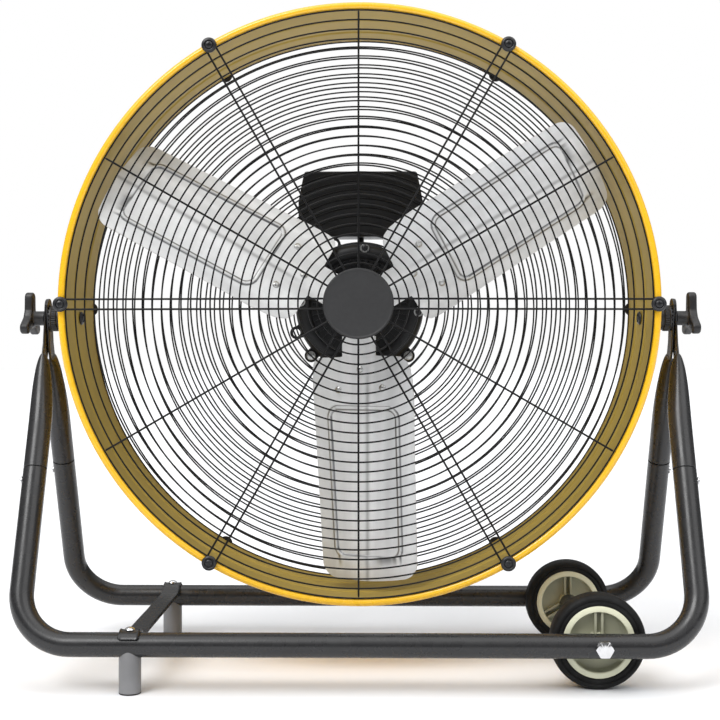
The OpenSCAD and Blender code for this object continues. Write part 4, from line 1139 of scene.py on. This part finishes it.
def blade_sheet():
    """One blade's middle surface as a grid of (u, w), with a round tip on the drum's own circle."""
    corner, rows = 15.0, []
    stations = [34 + 2.0 * i for i in range(11)]
    stations += [55.0, 55.5, 55.9, 56.1, 56.6, 57.2, 57.5, 57.8, 58.3, 59.2, 60.5]
    stations += [62 + 1.25 * i for i in range(176)]
    last = TIP_R - corner
    stations = [s for s in stations if s < last]
    stations += [last + corner * sin(radians(d)) for d in (0, 9, 18, 27, 36, 45, 54, 63, 72, 79, 85, 89)]
    across = 112
    for s in stations:
        left, right = blade_edges(s)
        cut_in = corner - sqrt(max(corner ** 2 - max(s - last, 0.0) ** 2, 0.0))
        left, right = left + cut_in, right - cut_in
        row = []
        for j in range(across + 1):
            w = left + (right - left) * j / across
            round_tip = sqrt(TIP_R ** 2 - w * w) / TIP_R
            fade = ease((s - 90.0) / 180.0)
            row.append((s * (1 - fade * (1 - round_tip)), w))
        rows.append(row)
    return rows


def make_blades():
    rows = blade_sheet()
    sheet = skin([[(u, w, camber(u, w) + rib_height(u, w) + 0.85) for u, w in row] for row in rows],
                 closed_rings=False)
    flat = [place for row in rows for place in row]
    for node, angle in zip(("blade_lower", "blade_left", "blade_right"), ARM_ANGLES):
        obj = detail(node, placed(sheet, blade_frame(angle)), sharp=50)
        uv = obj.data.uv_layers.new(name="sheet")
        for loop in obj.data.loops:
            u, w = flat[loop.vertex_index]
            uv.data[loop.index].uv = ((u + angle * 3.0) * MM, w * MM)
        # Painted shade mask: high on the pressed line's steep sides and along the radial crease.
        painted_line_shade = obj.data.attributes.new("painted_line_shade", "FLOAT", "POINT")
        for i, (u, w) in enumerate(flat):
            rise = max(abs(rib_height(u + 0.5, w) - rib_height(u - 0.5, w)),
                       abs(rib_height(u, w + 0.5) - rib_height(u, w - 0.5)))
            # Painted shade band along the radial crease.
            crease = 0.55 * exp(-((w - CREASE_W) / 2.2) ** 2) * ease((u - 60.0) / 40.0)
            painted_line_shade.data[i].value = max(min(rise / 0.7, 1.0), crease)
        thickened(obj, 1.5, 0.5, 60)


def make_hub():
    """Three pressed arms on a bright boss, and the rivets that hold the blades."""
    plate_t, across = 2.3, 24
    rows = []
    for u in (18, 26, 34, 44, 54, 60, 64, 68, 72, 76, 80, 84, 90, 96, 99, 101, 102.4, 103):
        flare = ease((u - 60) / 24)
        trim = 0.12 * max(u - 97, 0.0) ** 2
        left, right = -18 - 16 * flare + trim, 18 + 18 * flare - trim
        widths = [left + (right - left) * j / across for j in range(across + 1)]
        rows.append([(u, w, camber(u, w) - plate_t / 2) for w in widths])
    arm = skin(rows, closed_rings=False)
    obj = detail("blade_hub", merged(*[placed(arm, blade_frame(a)) for a in reversed(ARM_ANGLES)]), sharp=50)
    uv = obj.data.uv_layers.new(name="sheet")
    for loop in obj.data.loops:
        v = obj.data.vertices[loop.vertex_index].co
        uv.data[loop.index].uv = (v.x, v.z)
    thickened(obj, plate_t - 0.1, 0.4, 60)
    disc = lathe([(SHAFT_R + 0.05, -12), (13, -12), (14, -11), (14, -3.2), (15, -2.2), (30.8, -2.2),
                  (32, -1.2), (32, 1.0), (30.8, 2.2), (15.4, 2.2), (14, 3.4), (14, 11), (13, 12),
                  (SHAFT_R + 0.05, 12)], 96, closed=True)
    boss = extra("blade_hub_boss", placed(disc, drum_frame(ROTOR_Y)), "blade_hub", "bright_steel", 35)
    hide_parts("blade_hub")
    head = [(0, 2.2), (1.6, 2.15), (2.9, 1.75), (3.7, 1.0), (4.1, 0.2), (4.1, 0)]
    rivet = lathe(head + [(2.2, 0), (2.2, -3.6), (3.9, -3.7), (3.6, -4.6), (2.2, -5.0), (0, -5.1)], 40)
    rivets = [placed(rivet, blade_frame(a) @ move(u, w, camber(u, w) + 1.65))
              for a in reversed(ARM_ANGLES) for u, w in RIVETS]
    detail("blade_rivets", merged(*rivets), sharp=45)


# ---------- control box ----------

KNOB_X, _, KNOB_Z = [c / MM for j in frame["joints"] if j["name"] == "speed_knob_turn" for c in j["pos_m"]]


def box_outline(half, height, inset_by=0.0, r=5.0):
    """The box seen from behind: straight sides, cut top corners, all rounded."""
    h = half - inset_by
    corners = [(-h, inset_by), (h, inset_by), (h, height * 0.55), (h - 7, height - inset_by),
               (-h + 7, height - inset_by), (-h, height * 0.55)]
    loop = []
    n = len(corners)
    for i, p in enumerate(corners):
        p = Vector(p)
        a = (Vector(corners[i - 1]) - p).normalized()
        b = (Vector(corners[(i + 1) % n]) - p).normalized()
        angle = acos(max(-1.0, min(1.0, a.dot(b))))
        reach = min(r / tan(angle / 2), 12.0)
        start, end = p + a * reach, p + b * reach
        for k in range(7):
            f = k / 6
            q = start * (1 - f) ** 2 + p * 2 * f * (1 - f) + end * f * f
            loop.append((q.x, q.y))
    return loop


def make_control_box():
    low, high = box_mm("control_box_case")
    half, height, depth = (high.x - low.x) / 2, high.z - low.z, high.y - low.y
    wall = 2.2
    outer = box_outline(half, height)
    inner = box_outline(half, height, wall, 3.5)
    levels = [(inset(outer, d), depth - z) for d, z in ((2.6, 0.0), (1.3, 0.4), (0.4, 1.3), (0.0, 2.6))]
    levels += [(outer, 0.0), (inner, 0.0), (inner, depth - wall)]
    part = skin([[(x, y, z) for x, y in loop] for loop, z in levels])
    at = move(0, high.y, low.z) @ turn(90, "X")
    bores = [placed(rod(4.2, -1, 6, 32), move(0, low.y + 17, low.z)),
             placed(rod(6.2, -1, 6, 32), move(-52, low.y + 20, low.z))]
    detail("control_box_case", cut(placed(part, at), *bores), sharp=35)
    low, high = box_mm("control_box_lid")
    t = high.y - low.y
    knob_x, knob_z = KNOB_X, KNOB_Z - low.z
    screw_places = [(sx * (half - 14), z) for sx in (-1, 1) for z in (9, height - 12)]
    holes = [circle(5.2, 32, knob_x, knob_z)] + [circle(1.8, 20, x, z) for x, z in screw_places]
    lid = prism(outer, t, holes)
    detail("control_box_lid", placed(lid, move(0, high.y, low.z) @ turn(90, "X")), bevel=0.7)
    screw = cross_screw(3.0, 1.5, 1.6, 9.0)
    screws = [placed(screw, move(x, high.y + 0.05, low.z + z) @ turn(-90, "X") @ turn(40 * i, "Z"))
              for i, (x, z) in enumerate(screw_places)]
    detail("control_box_screws", merged(*screws))


def make_speed_knob():
    skirt_r, grip_r, grip_t, n = 17.0, 12.0, 8.0, 180

    def fluted(a):
        return grip_r - 0.5 * (0.5 + 0.5 * cos(30 * a))

    line = [(3.0, -18), (3.0, 0), (skirt_r - 0.4, 0), (skirt_r, 0.4), (skirt_r, 2.2), (skirt_r - 0.9, 3.0),
            (grip_r + 0.8, 3.2), (fluted, 3.9), (fluted, 6.2), (grip_r - 0.8, 7.0)]
    body = skin([polar(n, r, z) for r, z in line] + [[(0, 0, 7.0)]])
    grip = placed(prism(round_rect(grip_t, 2 * grip_r - 2.0, 2.0, 5), 8.0), move(z=6.8))
    pointer = placed(prism(round_rect(1.2, 7.0, 0.55, 4), 0.5), move(0, -grip_r + 5.2, 14.5))
    at = move(KNOB_X, box_mm("speed_knob")[1].y - 15.0, KNOB_Z) @ turn(-90, "X")
    detail("speed_knob", placed(merged(body, grip), at), bevel=0.5)
    extra("speed_knob_pointer", placed(pointer, at), "speed_knob", "mark_white")


def make_dial_marks():
    """Off, and three speed marks printed on the lid."""
    tick = prism(round_rect(4.2, 1.1, 0.5, 4), 0.16)
    at = move(KNOB_X, box_mm("control_box_lid")[1].y - 0.02, KNOB_Z) @ turn(-90, "X")
    marks = [placed(tick, at @ turn(270 - 45 * i, "Z") @ move(21.5)) for i in range(4)]
    extra("speed_marks", merged(*marks), "control_box_lid", "mark_white")


def make_cable_parts():
    low, high = box_mm("cable_gland")
    x, y = (low.x + high.x) / 2, (low.y + high.y) / 2
    top = box_mm("control_box_case")[0].z
    profile = [(3.6, -17.0), (6.0, -17.0)]
    for i in range(6):
        z = -16.2 + i * 2.0
        r = 6.2 + 0.36 * i
        profile += [(r + 0.3, z), (r + 0.3, z + 0.9), (r - 0.4, z + 1.1), (r - 0.4, z + 1.8)]
    profile += [(8.5, -4.1), (6.0, -4.0), (6.0, 7.6), (3.6, 7.6)]
    nut = placed(hex_piece(19, 4.0, 6.0), move(z=-4.1))
    detail("cable_gland", placed(merged(lathe(profile, 56, closed=True), nut), move(x, y, top)), sharp=35)


# ---------- room, light and camera ----------


def make_room():
    n = Nodes("pale_floor")
    base = n.mixed(n.spread(n.noise(700, 2), 0, 1), (0.915, 0.925, 0.945, 1), (0.93, 0.94, 0.96, 1))
    n.feed(colour=base, roughness=0.7, normal=n.bump(n.noise(30, 2), 0.02, 0.2), specular=0.1)
    near, far, half = -5200.0, 30000.0, 20000.0
    sheet = skin([[(-half, y, 0), (half, y, 0)] for y in (near, far)], closed_rings=False)
    floor_obj = make_object("floor", sheet)
    floor_obj.data.materials.append(n.material)
    build_sky()

    def sun(name, direction, strength, size):
        light = bpy.data.lights.new(name, "SUN")
        light.energy, light.angle = strength, radians(size)
        obj = bpy.data.objects.new(name, light)
        obj.rotation_euler = (-Vector(direction)).to_track_quat("-Z", "Y").to_euler()
        bpy.context.scene.collection.objects.link(obj)

    sun("key_light", (-0.55, -0.75, 0.95), 1.75, 30)
    sun("fill_light", (0.75, -0.60, 0.75), 0.6, 45)
    sun("top_light", (0.05, -0.10, 1.0), 0.8, 60)


def build_sky():
    """A bright ceiling over a dim band at eye height; the camera itself sees plain white."""
    world = bpy.data.worlds.new("studio")
    world.use_nodes = True
    tree = world.node_tree
    background = tree.nodes["Background"]

    def ranged(value, low, high, from_low, from_high):
        node = tree.nodes.new("ShaderNodeMapRange")
        node.interpolation_type = "SMOOTHSTEP"
        numbers = {"From Min": from_low, "From Max": from_high, "To Min": low, "To Max": high}
        for socket, number in numbers.items():
            node.inputs[socket].default_value = number
        tree.links.new(value, node.inputs["Value"])
        return node.outputs["Result"]

    split = tree.nodes.new("ShaderNodeSeparateXYZ")
    tree.links.new(tree.nodes.new("ShaderNodeTexCoord").outputs["Generated"], split.inputs["Vector"])
    height = ranged(split.outputs["Z"], 0.10, 0.85, 0.12, 0.85)
    seen = tree.nodes.new("ShaderNodeMix")
    tree.links.new(tree.nodes.new("ShaderNodeLightPath").outputs["Is Camera Ray"], seen.inputs["Factor"])
    tree.links.new(height, seen.inputs["A"])
    seen.inputs["B"].default_value = 1.0
    tree.links.new(seen.outputs["Result"], background.inputs["Strength"])
    background.inputs["Color"].default_value = (1.0, 1.0, 1.0, 1.0)
    bpy.context.scene.world = world


def make_camera():
    data = bpy.data.cameras.new("view")
    data.lens, data.sensor_width = 63.25, 36.0
    camera = bpy.data.objects.new("view", data)
    camera.location = (0.0211, -1.4375, 0.347)
    camera.rotation_euler = (radians(90 - 0.136), 0, radians(0.82))
    bpy.context.scene.collection.objects.link(camera)
    bpy.context.scene.camera = camera
    bpy.context.scene.view_settings.view_transform = "Standard"


make_camera()
make_room()
build_materials()
make_base_tubes()
make_legs()
make_feet()
make_strap()
make_axle()
make_wheels()
make_drum()
make_guards()
make_guard_middle()
make_rim_hardware()
make_bosses()
make_collars()
make_pivot_bolts()
make_tilt_knobs()
make_motor_front()
make_motor_housing()
make_through_bolts()
make_ear_bolts()
make_shaft()
make_blades()
make_hub()
make_control_box()
make_speed_knob()
make_dial_marks()
make_cable_parts()
